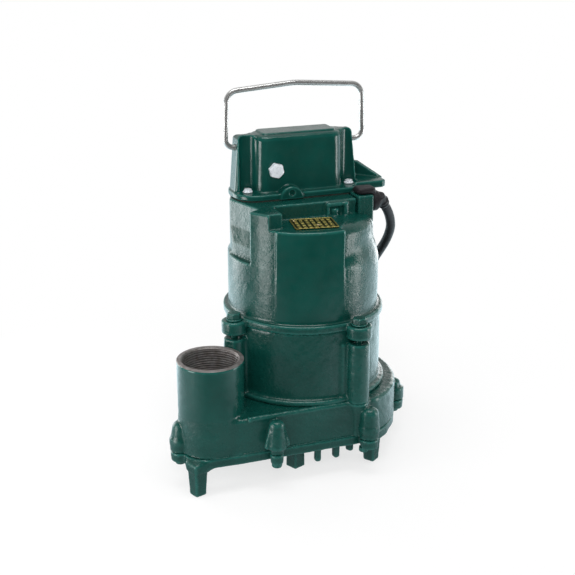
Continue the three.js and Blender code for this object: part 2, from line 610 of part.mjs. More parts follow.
function cap() {
  const middle = block(...blockHalf, 4, flangeBottom + 1, capTop, CAP_EDGE);
  const cheeks = block(...cheekHalf, 4, flangeBottom + 1, capTop, CAP_EDGE);
  const plateau = block(blockHalf[0] - 6, blockHalf[1] - 5, 3, capTop - 3, capTop + CAP_PLATEAU, 1);
  const [badgeX, badgeRadius, badgeOut] = BADGE;
  const front = CAP_Y - CAP_DEPTH;
  const badge = barY(badgeX, front - badgeOut, CAP_Y - blockHalf[1] + OVER, flangeBottom, badgeRadius)
    .intersect(box(-FAR, FAR, -FAR, FAR, flangeBottom, capTop));
  const notches = screwPlaces.map(([x, y]) => rod(x, y, flangeTop, capTop + CAP_EDGE, CAP_NOTCH));
  const [boltX, boltUp, , shank] = PLUG_BOLT;
  const plug = barY(boltX, CAP_Y - blockHalf[1] - OVER, CAP_Y, flangeTop + boltUp, shank + BOLT_CLEARANCE,
    SMALL);
  const hollow = capHollow(flangeBottom - OVER, capTop - CAP_WALL);
  const screws = holesAt(screwPlaces, flangeBottom - OVER, flangeTop + OVER, CAP_SCREW[2]);
  const body = join(flangeAt(0, flangeBottom, flangeTop),
    cut(join(middle, cheeks, plateau, sideLug()), ...notches), badge);
  return cut(body, hollow, plug, pivotBore(-1), pivotBore(1), ...screws);
}

function capGasket() {
  const sheet = flangeAt(-GASKET_INSET, housingTop + GASKET_GAP, flangeBottom - GASKET_GAP);
  const inside = capHollow(housingTop - OVER, flangeBottom + OVER);
  const ledge = box(glandX[0] - SEAT, FAR, -FAR, LEDGE_SIDE, housingTop - OVER, flangeBottom + OVER);
  return cut(sheet, inside, ledge, ...holesAt(screwPlaces, housingTop, flangeBottom, CAP_SCREW[2]));
}

// ---------------------------------------------------------------- bail
function bail() {
  const cheek = cheekHalf[0];
  const [footX, footUp] = [cheek + BAIL_FOOT[0], BAIL_FOOT[1]];
  const [shoulderX, shoulderUp] = [cheek + BAIL_SHOULDER[0], BAIL_SHOULDER[1]];
  const corner = (side, x, up) => new THREE.Vector3(side * x, CAP_Y, pivotHeight + up);
  const half = (side) => [
    corner(side, cheek - BAIL_BORE, 0), corner(side, cheek - 1, 0), corner(side, cheek + 1.2, 0),
    corner(side, footX - 3.4, 2.2),
    corner(side, footX, footUp), corner(side, shoulderX, shoulderUp - BAIL_BEND),
    corner(side, shoulderX - 3.2, shoulderUp - 3.2), corner(side, shoulderX - BAIL_BEND, shoulderUp + 0.6),
  ];
  const points = [...half(-1), corner(1, 0, BAIL_PEAK), ...half(1).reverse()];
  const path = new THREE.CatmullRomCurve3(points, false, 'centripetal');
  const section = new THREE.Shape().absarc(0, 0, BAIL_WIRE, 0, 2 * Math.PI);
  return new THREE.ExtrudeGeometry(section, {
    steps: 48, curveSegments: 4, bevelEnabled: false, extrudePath: path,
  });
}

// ---------------------------------------------------------------- fasteners
function hexBolt(x, y, seat, length, shank, head, height) {
  return join(rod(x, y, seat - length, seat + OVER, shank, SMALL), rod(x, y, seat, seat + height, head, 6));
}

function fasteners() {
  boltPlaces.forEach(([x, y], index) => {
    const seat = earTop + SEAT;
    const length = seat - voluteTop + BOLT_PAD - 2;
    add(`through_bolt_${index + 1}`,
      hexBolt(x, y, seat, length, BOLT_RADIUS, BOLT_HEAD, BOLT_HEAD_HEIGHT), 'enamel');
  });
  screwPlaces.forEach(([x, y], index) => {
    const [, , shank, head] = CAP_SCREW;
    const seat = flangeTop + SEAT;
    const screw = join(rod(x, y, housingTop - CAP_SCREW_DEPTH, seat + OVER, shank, SMALL),
      rod(x, y, seat, seat + CAP_SCREW_HEAD_HEIGHT, head));
    add(`cap_screw_${index + 1}`, screw, 'zinc');
  });
  lugs.forEach(([x, y], index) => {
    const seat = LEG_HEIGHT - SEAT;
    const tip = voluteBottom + LUG_SCREW_DEPTH - 2;
    const screw = join(rod(x, y, seat - OVER, tip, LUG_SCREW_RADIUS, SMALL),
      rod(x, y, seat - LUG_SCREW_HEAD_HEIGHT, seat, LUG_SCREW_HEAD, 6));
    add(`base_screw_${index + 1}`, screw, 'zinc');
  });
}

function plugBolt() {
  const [x, up, head, shank] = PLUG_BOLT;
  const face = CAP_Y - blockHalf[1] - SEAT;
  return join(barY(x, face - PLUG_BOLT_HEAD_HEIGHT, face, flangeTop + up, head, 6),
    barY(x, face - OVER, face + CAP_WALL + 2, flangeTop + up, shank, SMALL));
}

// ---------------------------------------------------------------- nameplate
function nameplate() {
  const [width, depth, thick] = NAMEPLATE;
  const plate = prism(roundedBox(width / 2, depth / 2, 2), ledgeTop + SEAT, ledgeTop + SEAT + thick, 3);
  return plate.rotate([0, 0, PANEL_TURN]).translate([NAMEPLATE_AT[0], NAMEPLATE_AT[1], 0]);
}

function rivet([x, y]) {
  const [radius, height] = RIVET;
  const seat = ledgeTop + 2 * SEAT + NAMEPLATE[2];
  return cone(NAMEPLATE_AT[0] + x, NAMEPLATE_AT[1] + y, seat, seat + height, radius, radius / 2);
}

// ---------------------------------------------------------------- motor, shaft and hydraulics
function shaft() {
  const top = upperBearingBottom + UPPER_BEARING[1] + 1;
  const bottom = impellerTop - 16;
  return turned([
    [0, bottom], [SHAFT_THREAD, bottom], [SHAFT_THREAD, impellerTop + SEAT],
    [SHAFT_RADIUS, impellerTop + SEAT], [SHAFT_RADIUS, top - 1], [SHAFT_RADIUS - 1, top], [0, top],
  ], 20);
}

function impeller() {
  const bladeBottom = impellerTop - IMPELLER_DISC - IMPELLER_BLADE;
  const blades = Array.from({ length: IMPELLER_BLADES }, (_, index) => {
    const [inner, outer] = [IMPELLER_HUB - 3, IMPELLER_RADIUS - 1];
    const geometry = new THREE.BoxGeometry(outer - inner, IMPELLER_BLADE_THICK, IMPELLER_BLADE + OVER);
    geometry.translate((outer + inner) / 2, 4, bladeBottom + (IMPELLER_BLADE + OVER) / 2);
    geometry.rotateZ((index * 2 * Math.PI) / IMPELLER_BLADES);
    return solid(geometry);
  });
  const disc = rod(0, 0, impellerTop - IMPELLER_DISC, impellerTop, IMPELLER_RADIUS, ROUND);
  const hub = rod(0, 0, bladeBottom - 1, impellerTop, IMPELLER_HUB);
  const bore = rod(0, 0, bladeBottom, impellerTop + OVER, SHAFT_THREAD + SEAT, FINE);
  return cut(join(disc, hub, ...blades), bore);
}

function sealSpring() {
  const [radius, wire, coils] = SEAL_SPRING;
  const low = impellerTop + wire + SEAT;
  const high = sealHeadBottom - wire - SEAT;
  const points = Array.from({ length: coils * 10 + 1 }, (_, index) => {
    const angle = (index / 10) * 2 * Math.PI;
    const height = low + ((high - low) * index) / (coils * 10);
    return new THREE.Vector3(radius * Math.cos(angle), radius * Math.sin(angle), height);
  });
  return tube(points, wire, 5, coils * 10);
}

function motor() {
  const [windingIn, windingOut] = WINDING_RADII;
  const half = ROTOR_RING / 2;
  const shaftFit = SHAFT_RADIUS + SEAT;
  add('stator_core', ring(STATOR_BORE, motorBore - SEAT, stackBottom, stackTop, ROUND), 'steel');
  const low = stackBottom - SEAT;
  add('lower_winding', ring(windingIn, windingOut, low - WINDING_HEIGHT, low), 'copper');
  const high = stackTop + SEAT;
  add('upper_winding', ring(windingIn, windingOut, high, high + WINDING_HEIGHT), 'copper');
  add('rotor_core', ring(shaftFit, STATOR_BORE - AIR_GAP, stackBottom - half, stackTop + half), 'steel');
  add('rotor_shaft', shaft(), 'steel');
  const [upperRadius, upperWidth] = UPPER_BEARING;
  const upperTop = upperBearingBottom + upperWidth;
  add('upper_bearing', ring(shaftFit, upperRadius, upperBearingBottom, upperTop), 'steel');
  const [lowerRadius, lowerWidth] = LOWER_BEARING;
  add('lower_bearing', ring(shaftFit, lowerRadius, lowerBearingTop - lowerWidth, lowerBearingTop), 'steel');
  const seatTop = sealSeatBottom + SEAL_SEAT_HEIGHT;
  add('seal_seat', ring(SHAFT_RADIUS + SHAFT_CLEARANCE, SEAL_RADIUS, sealSeatBottom, seatTop), 'carbon');
  const headTop = sealHeadBottom + SEAL_HEAD_HEIGHT;
  add('seal_head', ring(shaftFit, SEAL_RADIUS - 0.8, sealHeadBottom, headTop), 'carbon');
  add('seal_spring', sealSpring(), 'stainless');
  add('impeller', impeller(), 'steel');
}

// wire connections inside the cap
function terminalBlock() {
  const low = housingTop + SEAT;
  const [x0, x1, half, height] = TERMINAL_BLOCK;
  return box(x0, x1, CAP_Y - half, CAP_Y + half, low, low + height);
}

// ---------------------------------------------------------------- gland, strain relief and cord
function glandBlock() {
  const [x0, x1] = glandX;
  const [, , y0, y1] = GLAND_BLOCK;
  const low = ledgeTop + SEAT;
  const body = box(x0, x1, y0, y1, low, low + GLAND_BLOCK_HEIGHT);
  const bore = barX(x0 - OVER, x1 + OVER, RELIEF_AT[0], reliefHeight, RELIEF_STUB + BOLT_CLEARANCE);
  return cut(body, bore, flangeAt(SEAT, flangeBottom - GASKET, flangeTop + SEAT));
}

function strainRelief() {
  const [y] = RELIEF_AT;
  const face = glandX[1] + SEAT;
  const top = ledgeTop + 2 * SEAT + GLAND_BLOCK_HEIGHT;
  const [tongueHeight, tongueHalf] = RELIEF_TONGUE;
  const round = barX(face, face + RELIEF_LENGTH, y, reliefHeight, RELIEF_RADIUS, FINE);
  const tongue = box(glandX[0], face + 2, y - tongueHalf, y + tongueHalf, top, top + tongueHeight);
  const stub = barX(glandX[0] + 1, face + OVER, y, reliefHeight, RELIEF_STUB);
  const besideLug = box(0, FAR, SIDE_LUG[0][1] - 0.5, FAR, flangeBottom - GASKET, capTop);
  const [noseLength, root, tip] = RELIEF_NOSE;
  const start = new THREE.Vector3(...CORD_ROUTE[0]);
  const along = new THREE.Vector3(...CORD_ROUTE[1]).sub(start).normalize();
  const nose = taper(start.clone().addScaledVector(along, -noseLength),
    start.clone().addScaledVector(along, -SEAT), root, tip);
  return cut(join(round, tongue, stub, nose), flangeAt(1, housingTop - 1, flangeTop + 9), besideLug);
}

const coilRight = new THREE.Vector3(Math.cos(COIL_TURN), Math.sin(COIL_TURN), 0);
const coilAhead = new THREE.Vector3(-Math.sin(COIL_TURN), Math.cos(COIL_TURN), 0);

function coilMiddle() {
  const [x, y] = CORD_ROUTE[CORD_ROUTE.length - 1];
  const start = new THREE.Vector3(x, y, 0).addScaledVector(coilAhead, SEAT + 2 * CORD_RADIUS);
  return start.addScaledVector(coilRight, -COIL_OUTER);
}

// loops that spiral in on the floor, climb in a half turn and spiral out again on top
function coilPoint(turns) {
  const middle = coilMiddle();
  const low = CORD_ROUTE[CORD_ROUTE.length - 1][2];
  const climb = THREE.MathUtils.clamp((turns - COIL_TURNS) / 0.5, 0, 1);
  const inner = COIL_OUTER - COIL_PITCH * COIL_TURNS;
  const radius = climb === 0 ? COIL_OUTER - COIL_PITCH * turns
    : climb === 1 ? inner + COIL_PITCH * (turns - COIL_TURNS - 0.5)
      : inner - COIL_PITCH * 0.5 * climb * (1 - climb);
  const angle = turns * 2 * Math.PI;
  const rise = COIL_RISE * climb * climb * (3 - 2 * climb);
  return middle.clone()
    .addScaledVector(coilRight, radius * Math.cos(angle))
    .addScaledVector(coilAhead, radius * Math.sin(angle))
    .setZ(low + rise);
}

function coilRoute() {
  const turns = 2 * COIL_TURNS + 0.5;
  const steps = Math.round(turns * COIL_STEPS);
  const loops = Array.from({ length: steps + 1 }, (_, index) => coilPoint((turns * index) / steps));
  const straight = 2 * CORD_RADIUS;
  const first = loops[0].clone().addScaledVector(coilAhead, -straight);
  const last = loops[steps].clone().addScaledVector(coilAhead, straight);
  return [first, ...loops, last];
}

// a six-sided tube straight through its points; both end faces are square to the cord
function windTube(points, radius, sides) {
  const up = new THREE.Vector3(0, 0, 1);
  const positions = [];
  points.forEach((point, index) => {
    const before = points[Math.max(index - 1, 0)];
    const after = points[Math.min(index + 1, points.length - 1)];
    const along = after.clone().sub(before).normalize();
    if (index === 0 || index === points.length - 1) along.copy(coilAhead);
    const out = new THREE.Vector3().crossVectors(along, up).normalize();
    const over = new THREE.Vector3().crossVectors(out, along);
    for (let side = 0; side < sides; side += 1) {
      const angle = ((side + 0.5) / sides) * 2 * Math.PI;
      const place = point.clone().addScaledVector(out, radius * Math.cos(angle))
        .addScaledVector(over, radius * Math.sin(angle));
      positions.push(place.x, place.y, place.z);
    }
  });
  const triangles = [];
  for (let row = 0; row < points.length - 1; row += 1) {
    for (let side = 0; side < sides; side += 1) {
      const next = (side + 1) % sides;
      const [a, b] = [row * sides + side, row * sides + next];
      triangles.push(a, b + sides, b, a, a + sides, b + sides);
    }
  }
  const end = (points.length - 1) * sides;
  for (let side = 1; side < sides - 1; side += 1) {
    triangles.push(0, side, side + 1, end, end + side + 1, end + side);
  }
  const geometry = new THREE.BufferGeometry();
  geometry.setAttribute('position', new THREE.Float32BufferAttribute(positions, 3));
  geometry.setIndex(triangles);
  return geometry;
}

// the least gap between loops, measured on the cord's middle line more than half a turn apart
function leastGap(points, radius) {
  let least = Infinity;
  for (let first = 0; first < points.length; first += 1) {
    for (let second = first + COIL_STEPS / 2; second < points.length; second += 1) {
      const segment = new THREE.Line3(points[second - 1], points[second]);
      const nearest = segment.closestPointToPoint(points[first], true, new THREE.Vector3());
      least = Math.min(least, nearest.distanceTo(points[first]) - 2 * radius);
    }
  }
  return least;
}

function routeLength(points) {
  return points.slice(1).reduce((sum, point, index) => sum + point.distanceTo(points[index]), 0);
}

function plug(end) {
  const [width, height, length] = PLUG_BODY;
  const [thick, tall, out] = PLUG_BLADE;
  const face = SEAT + PLUG_NECK + length; // where the blades come out, along the cord
  const root = face - 8; // where the blades end inside the moulding
  const place = (geometry, from, to, aside = 0, up = 0) => {
    geometry.rotateZ(COIL_TURN);
    const at = end.clone().addScaledVector(coilAhead, (from + to) / 2).addScaledVector(coilRight, aside);
    geometry.translate(at.x, at.y, at.z + up);
    return geometry;
  };
  const bar = (radius, from, to, up) => place(
    new THREE.CylinderGeometry(radius, radius, to - from, POST), from, to, 0, up);
  const flat = (x, z, from, to, aside = 0, up = 0) => place(
    new THREE.BoxGeometry(x, to - from, z), from, to, aside, up);
  const neck = place(new THREE.CylinderGeometry(CORD_RADIUS + 3, CORD_RADIUS + 0.8, PLUG_NECK, POST),
    SEAT, SEAT + PLUG_NECK);
  const body = flat(width, height, SEAT + PLUG_NECK - OVER, face);
  const sockets = [solid(bar(PLUG_PIN + SEAT, root - SEAT, face + OVER, PLUG_PIN_DROP))];
  [-1, 1].forEach((side) => {
    const aside = (side * PLUG_BLADE_GAP) / 2;
    const slot = flat(thick + 2 * SEAT, tall + 2 * SEAT, root - SEAT, face + OVER, aside, PLUG_BLADE_UP);
    sockets.push(solid(slot));
    add(side < 0 ? 'plug_blade_left' : 'plug_blade_right',
      flat(thick, tall, root, face + out, aside, PLUG_BLADE_UP), 'brass');
  });
  add('plug_ground_pin', bar(PLUG_PIN, root, face + out + 2, PLUG_PIN_DROP), 'brass');
  add('cord_plug', cut(join(solid(neck), solid(body)), ...sockets), 'rubber');
}

function cordSet() {
  add('gland_block', glandBlock(), 'enamel');
  add('strain_relief', strainRelief(), 'rubber');
  const route = CORD_ROUTE.map((point) => new THREE.Vector3(...point));
  add('power_cord', tube(route, CORD_RADIUS, CORD_SIDES, ROUND), 'rubber');
  const loops = coilRoute();
  add('power_cord_coil', windTube(loops, CORD_RADIUS, COIL_SIDES), 'rubber');
  const leadStart = loops[loops.length - 1].clone().addScaledVector(coilAhead, SEAT);
  const leadEnd = leadStart.clone().addScaledVector(coilAhead, LEAD_LENGTH);
  add('power_cord_lead', windTube([leadStart, leadEnd], CORD_RADIUS, CORD_SIDES), 'rubber');
  plug(leadEnd);
  const free = new THREE.CatmullRomCurve3(route, false, 'centripetal').getLength();
  const total = free + routeLength(loops) + LEAD_LENGTH;
  const gap = leastGap(loops, CORD_RADIUS);
  console.log(`cord length ${total.toFixed(0)} mm, least gap between loops ${gap.toFixed(2)} mm`);
}

// ---------------------------------------------------------------- assembly
add('base_plate', basePlate(), 'enamel');
add('base_gasket', baseGasket(), 'fibre');
add('volute_casing', volute(), 'enamel');
add('adapter', adapter(), 'enamel');
add('housing_seal', ring(adapterRadius - 5, adapterRadius - GASKET_INSET, adapterTop + GASKET_GAP,
  housingBottom - GASKET_GAP, ROUND), 'rubber');
add('motor_housing', housing(), 'enamel');
add('cap_gasket', capGasket(), 'fibre');
add('terminal_cap', cap(), 'enamel');
add('terminal_block', terminalBlock(), 'carbon');
add('plug_bolt', plugBolt(), 'zinc');
add('bail_handle', bail(), 'stainless');
add('nameplate', nameplate(), 'brass');
RIVET_AT.forEach((place, index) => add(`nameplate_rivet_${index + 1}`, rivet(place), 'brass'));
fasteners();
motor();
cordSet();

// the origin goes on the floor under the middle of the pump's box, the cord and plug left out
const cordNames = /^(power_cord|cord_plug|plug_blade|plug_ground|strain_relief)/;
const bounds = new THREE.Box3();
pump.children.filter((mesh) => !cordNames.test(mesh.name)).forEach((mesh) => bounds.expandByObject(mesh));
const middle = bounds.getCenter(new THREE.Vector3());
pump.position.set(-middle.x, -middle.y, -bounds.min.z);
console.log(`shaft axis at ${pump.position.x.toFixed(3)}, ${pump.position.y.toFixed(3)}`);

export default pump;
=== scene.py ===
import math

import bpy
import numpy as np
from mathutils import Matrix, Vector


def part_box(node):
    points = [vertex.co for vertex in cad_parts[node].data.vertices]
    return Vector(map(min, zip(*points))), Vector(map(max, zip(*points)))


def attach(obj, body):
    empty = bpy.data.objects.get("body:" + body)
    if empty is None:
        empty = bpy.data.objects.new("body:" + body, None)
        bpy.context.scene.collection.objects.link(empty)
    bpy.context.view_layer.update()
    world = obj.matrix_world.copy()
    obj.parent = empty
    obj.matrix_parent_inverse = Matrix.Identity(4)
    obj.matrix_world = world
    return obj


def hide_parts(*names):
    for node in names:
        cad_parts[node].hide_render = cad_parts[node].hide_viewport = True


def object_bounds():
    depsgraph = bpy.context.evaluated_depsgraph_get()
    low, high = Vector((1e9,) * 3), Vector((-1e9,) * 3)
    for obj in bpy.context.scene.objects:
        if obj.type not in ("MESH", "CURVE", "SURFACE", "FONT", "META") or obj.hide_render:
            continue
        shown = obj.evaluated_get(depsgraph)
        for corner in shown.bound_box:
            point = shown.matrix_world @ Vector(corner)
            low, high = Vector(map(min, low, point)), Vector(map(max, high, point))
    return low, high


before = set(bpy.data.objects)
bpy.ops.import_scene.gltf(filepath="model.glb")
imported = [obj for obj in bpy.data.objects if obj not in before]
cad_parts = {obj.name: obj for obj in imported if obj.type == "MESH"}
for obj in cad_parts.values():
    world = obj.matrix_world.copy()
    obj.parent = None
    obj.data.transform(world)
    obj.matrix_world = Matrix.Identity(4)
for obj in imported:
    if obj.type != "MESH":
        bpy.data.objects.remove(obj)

MM = 0.001
COARSE = 1.0
cad_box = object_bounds()


# ---------------------------------------------------------------- sizes taken from the frame
def low(node):
    return np.array(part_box(node)[0]) / MM


def high(node):
    return np.array(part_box(node)[1]) / MM


SHAFT = (low("rotor_shaft") + high("rotor_shaft")) / 2 * [1, 1, 0]


def middle(node):
    return (low(node) + high(node)) / 2 - SHAFT


PLATE_TOP = high("base_plate")[2]
VOLUTE_LOW = low("volute_casing")[2]
RIM_TOP = high("volute_casing")[2]
ADAPTER_TOP = high("adapter")[2]
HOUSING_LOW = ADAPTER_TOP + 0.8
HOUSING_TOP = high("motor_housing")[2]
CAP_LOW = low("terminal_cap")[2]
LEDGE_TOP = low("nameplate")[2] - 0.3
LUGS = [middle(f"base_screw_{n}")[:2] for n in range(1, 8)]
BOLTS = [middle(f"through_bolt_{n}")[:2] for n in range(1, 5)]
CAP_SCREWS = [middle(f"cap_screw_{n}")[:2] for n in range(1, 5)]
BOX_LOW = np.array(cad_box[0]) / MM - SHAFT
BOX_HIGH = np.array(cad_box[1]) / MM - SHAFT

# ---------------------------------------------------------------- driving sizes, in millimetres
LEG_HEIGHT = 26.2
VOLUTE_TOP = VOLUTE_LOW + 32.6
VOLUTE_RADIUS = 85.3
VOLUTE_FRONT = 75.3
DISCHARGE = (-102.5, -47.1)
BOSS_RADIUS = 28.3
RIM_RADIUS = 28.9
BORE_RADIUS = 24.0
CHANNEL_RADIUS = 20.0
CAVITY_RADIUS = 68.8
EYE_RADIUS = 24.0
ADAPTER_RADIUS = 69.6
FOOT_RING = (74.6, 4.4)
COLUMN_RADIUS = 9.6
COLUMN_TOP = 122.9
EAR = (127.9, 139.4, 11.0)
LIP_RADIUS = 71.9
LIP_LOW = HOUSING_LOW - 3.9
LIP_TOP = HOUSING_LOW + 3.2
HOUSING_RADIUS = 67.2
UPPER_RADIUS = 63.4
UPPER_CENTRE = (-1.4, 0.5)
LEDGE_LEFT = -36.0
LEDGE_BACK = -20.8
CAP_Y = middle("bail_handle")[1]
FLANGE_TOP = CAP_LOW + 5.1
CAP_TOP = FLANGE_TOP + 49.2
PIVOT = FLANGE_TOP + 38.7
WIRE = 2.4
CORD_RADIUS = 4.25
GLAND_AXIS = (-14.2, LEDGE_TOP + 7.9)  # its Y and Z; it lies along X
# Radii of the holes for bolts and screws.
BOLT_HOLE = 3.4
SCREW_HOLE = 3.0
CAP_SCREW_HOLE = 2.8
# How uneven the castings' skins are.
CAST_SKIN = 0.10
CAP_SKIN = 0.06
FINE_SKIN = 0.05
# How finely the cap is cast, where 0 is rough and 1 is fine.
CAP_FINENESS = 0.8

# ---------------------------------------------------------------- camera
CAMERA_AT = (-356.1, -913.9, 497.4)
CAMERA_AZIMUTH = -20.48
CAMERA_ELEVATION = 19.4
CAMERA_LENS = 72.0
SENSOR = 36.0


def in_frame(points):
    """Millimetres about the shaft axis, turned into metres in the frame."""
    return (np.asarray(points, float) + SHAFT) * MM


def in_scene(name, data):
    """A new object in the scene."""
    made = bpy.data.objects.new(name, data)
    bpy.context.scene.collection.objects.link(made)
    return made


def make_camera():
    azimuth, elevation = math.radians(CAMERA_AZIMUTH), math.radians(CAMERA_ELEVATION)
    back = Vector((
        math.sin(azimuth) * math.cos(elevation),
        -math.cos(azimuth) * math.cos(elevation),
        math.sin(elevation),
    ))
    camera = in_scene("camera", bpy.data.cameras.new("camera"))
    camera.data.lens = CAMERA_LENS
    camera.data.sensor_width = SENSOR
    camera.data.clip_start = 0.05
    camera.location = Vector(in_frame(CAMERA_AT))
    camera.rotation_mode = "QUATERNION"
    camera.rotation_quaternion = (-back).to_track_quat("-Z", "Y")
    bpy.context.scene.camera = camera


make_camera()


# ---------------------------------------------------------------- meshes and finishes
def mesh_piece(name, points, faces, finish, smooth=True):
    """An object from points in millimetres about the shaft and faces of three or four corners."""
    data = bpy.data.meshes.new(name)
    data.from_pydata(in_frame(points).tolist(), [], [list(face) for face in faces])
    data.polygons.foreach_set("use_smooth", [smooth] * len(data.polygons))
    data.materials.append(finish)
    data.update()
    return in_scene(name, data)


class Finish:
    """A material under construction: its nodes and its shader."""

    def __init__(self, name, **values):
        self.material = bpy.data.materials.new(name)
        self.material.use_nodes = True
        self.tree = self.material.node_tree
        self.shader = self.tree.nodes["Principled BSDF"]
        self.place = self.node("ShaderNodeTexCoord").outputs["Object"]
        for socket, value in values.items():
            self.shader.inputs[socket.replace("_", " ")].default_value = value

    def node(self, kind, **settings):
        made = self.tree.nodes.new(kind)
        for key, value in settings.items():
            setattr(made, key, value)
        return made

    def link(self, source, target):
        self.tree.links.new(source, target)

    def noise(self, size, detail=2.0, rough=0.5, stretch=(1, 1, 1), distortion=0.0):
        """Noise with features of about this size in millimetres."""
        mapping = self.node("ShaderNodeMapping")
        mapping.inputs["Scale"].default_value = stretch
        self.link(self.place, mapping.inputs["Vector"])
        texture = self.node("ShaderNodeTexNoise")
        texture.inputs["Scale"].default_value = 1 / (size * MM)
        texture.inputs["Detail"].default_value = detail
        texture.inputs["Roughness"].default_value = rough
        texture.inputs["Distortion"].default_value = distortion
        self.link(mapping.outputs["Vector"], texture.inputs["Vector"])
        return texture.outputs["Fac"]

    def spread(self, source, from_low, from_high, to_low, to_high):
        ranged = self.node("ShaderNodeMapRange")
        for socket, value in zip(
            ("From Min", "From Max", "To Min", "To Max"), (from_low, from_high, to_low, to_high)
        ):
            ranged.inputs[socket].default_value = value
        self.link(source, ranged.inputs["Value"])
        return ranged.outputs["Result"]

    def mix(self, share, first, second):
        """A colour between two: each is a colour or another node's output."""
        mixer = self.node("ShaderNodeMix", data_type="RGBA")
        for slot, value in ((0, share), (6, first), (7, second)):
            if isinstance(value, bpy.types.NodeSocket):
                self.link(value, mixer.inputs[slot])
            elif slot:
                mixer.inputs[slot].default_value = (*value, 1)
            else:
                mixer.inputs[slot].default_value = value
        return mixer.outputs[2]

    def maths(self, operation, first, second):
        sums = self.node("ShaderNodeMath", operation=operation)
        for slot, value in enumerate((first, second)):
            if isinstance(value, bpy.types.NodeSocket):
                self.link(value, sums.inputs[slot])
            else:
                sums.inputs[slot].default_value = value
        return sums.outputs["Value"]

    def bump(self, height, depth, under=None, strength=None):
        """Relief of about this depth in millimetres, on top of another relief."""
        relief = self.node("ShaderNodeBump")
        relief.inputs["Strength"].default_value = 1.0
        if strength is not None:
            self.link(strength, relief.inputs["Strength"])
        relief.inputs["Distance"].default_value = depth * MM
        self.link(height, relief.inputs["Height"])
        if under is not None:
            self.link(under, relief.inputs["Normal"])
        return relief.outputs["Normal"]

    def colour(self, source):
        self.link(source, self.shader.inputs["Base Color"])

    def rough(self, source):
        self.link(source, self.shader.inputs["Roughness"])

    def rough_between(self, noise, least, most):
        """Roughness that follows a noise, from least to most."""
        self.rough(self.spread(noise, 0.3, 0.7, least, most))

    def relief(self, source):
        self.link(source, self.shader.inputs["Normal"])


def green_enamel():
    paint = Finish("green_enamel", Coat_Weight=0.2, Coat_Roughness=0.14, Specular_IOR_Level=0.5)
    tone = paint.mix(
        paint.spread(paint.noise(38, 3), 0.3, 0.7, 0, 1), (0.0016, 0.041, 0.032), (0.0040, 0.060, 0.048)
    )
    # Convex edges are lightened towards a pale teal: partly thinner enamel on edges, partly a painted
    # highlight along the edges.
    edge = paint.spread(paint.node("ShaderNodeNewGeometry").outputs["Pointiness"], 0.505, 0.56, 0, 0.6)
    tone = paint.mix(edge, tone, (0.022, 0.150, 0.128))
    grains = paint.noise(1.25, 3, 0.6)
    specks = paint.spread(grains, 0.64, 0.78, 0, 0.3)
    paint.colour(paint.mix(specks, tone, (0.024, 0.120, 0.105)))
    fine_cast = paint.node("ShaderNodeAttribute", attribute_name="fine_cast").outputs["Fac"]
    grainy = paint.spread(fine_cast, 0, 1, 1.0, 0.22)
    uneven = paint.spread(paint.noise(9, 3), 0.3, 0.7, 0.20, 0.35)
    paint.rough(paint.maths("MULTIPLY", uneven, paint.spread(fine_cast, 0, 1, 1.0, 0.72)))
    sand = paint.bump(paint.noise(2.3, 2, 0.55), 0.28, strength=grainy)
    fine = paint.bump(grains, 0.16, sand, strength=grainy)
    paint.relief(paint.bump(paint.noise(8.5, 1, 0.4), 0.12, fine, strength=grainy))
    return paint.material


def machined_iron():
    iron = Finish("machined_iron", Metallic=0.6)
    rust = iron.spread(iron.noise(5, 4, 0.6), 0.35, 0.7, 0, 1)
    iron.colour(iron.mix(rust, (0.30, 0.285, 0.28), (0.17, 0.145, 0.135)))
    iron.rough_between(iron.noise(1.1, 2), 0.34, 0.55)
    centre = iron.node("ShaderNodeMapping")
    centre.inputs["Location"].default_value = [-v for v in in_frame((*DISCHARGE, 0))]
    iron.link(iron.place, centre.inputs["Vector"])
    turned = iron.node("ShaderNodeTexWave", wave_type="RINGS", rings_direction="Z")
    turned.inputs["Scale"].default_value = 420
    turned.inputs["Distortion"].default_value = 0.4
    iron.link(centre.outputs["Vector"], turned.inputs["Vector"])
    iron.relief(iron.bump(turned.outputs["Fac"], 0.05))
    return iron.material


def raw_iron():
    iron = Finish("raw_iron", Metallic=0.7)
    iron.colour(iron.mix(iron.noise(4, 4, 0.6), (0.085, 0.07, 0.062), (0.03, 0.024, 0.02)))
    iron.rough_between(iron.noise(2, 2), 0.5, 0.75)
    iron.relief(iron.bump(iron.noise(1.6, 3, 0.6), 0.2))
    return iron.material


def metal(name, bright, dull, size, roughness, depth=0.03, stretch=(1, 1, 1), metallic=1.0):
    """A plated, drawn or ground metal, mottled at this size in millimetres."""
    made = Finish(name, Metallic=metallic)
    made.colour(made.mix(made.spread(made.noise(size, 3, 0.6, stretch), 0.35, 0.68, 0, 1), bright, dull))
    made.rough_between(made.noise(size * 0.45, 3, 0.6, stretch), *roughness)
    made.relief(made.bump(made.noise(size * 0.2, 2, 0.5, stretch), depth))
    return made.material


def rubber(name, dark, worn, roughness):
    made = Finish(name, Specular_IOR_Level=0.35)
    made.colour(made.mix(made.spread(made.noise(6, 4, 0.6), 0.45, 0.8, 0, 1), dark, worn))
    made.rough_between(made.noise(3, 3), *roughness)
    made.relief(made.bump(made.noise(0.7, 2, 0.5), 0.03, made.bump(made.noise(5, 1), 0.12)))
    return made.material


def laminated():
    made = Finish("lamination_steel", Metallic=0.9)
    bands = made.node("ShaderNodeTexWave", bands_direction="Z")
    bands.inputs["Scale"].default_value = 320
    made.link(made.place, bands.inputs["Vector"])
    made.colour(made.mix(bands.outputs["Fac"], (0.10, 0.10, 0.11), (0.30, 0.30, 0.31)))
    made.rough_between(made.noise(3, 2), 0.4, 0.6)
    made.relief(made.bump(bands.outputs["Fac"], 0.12))
    return made.material


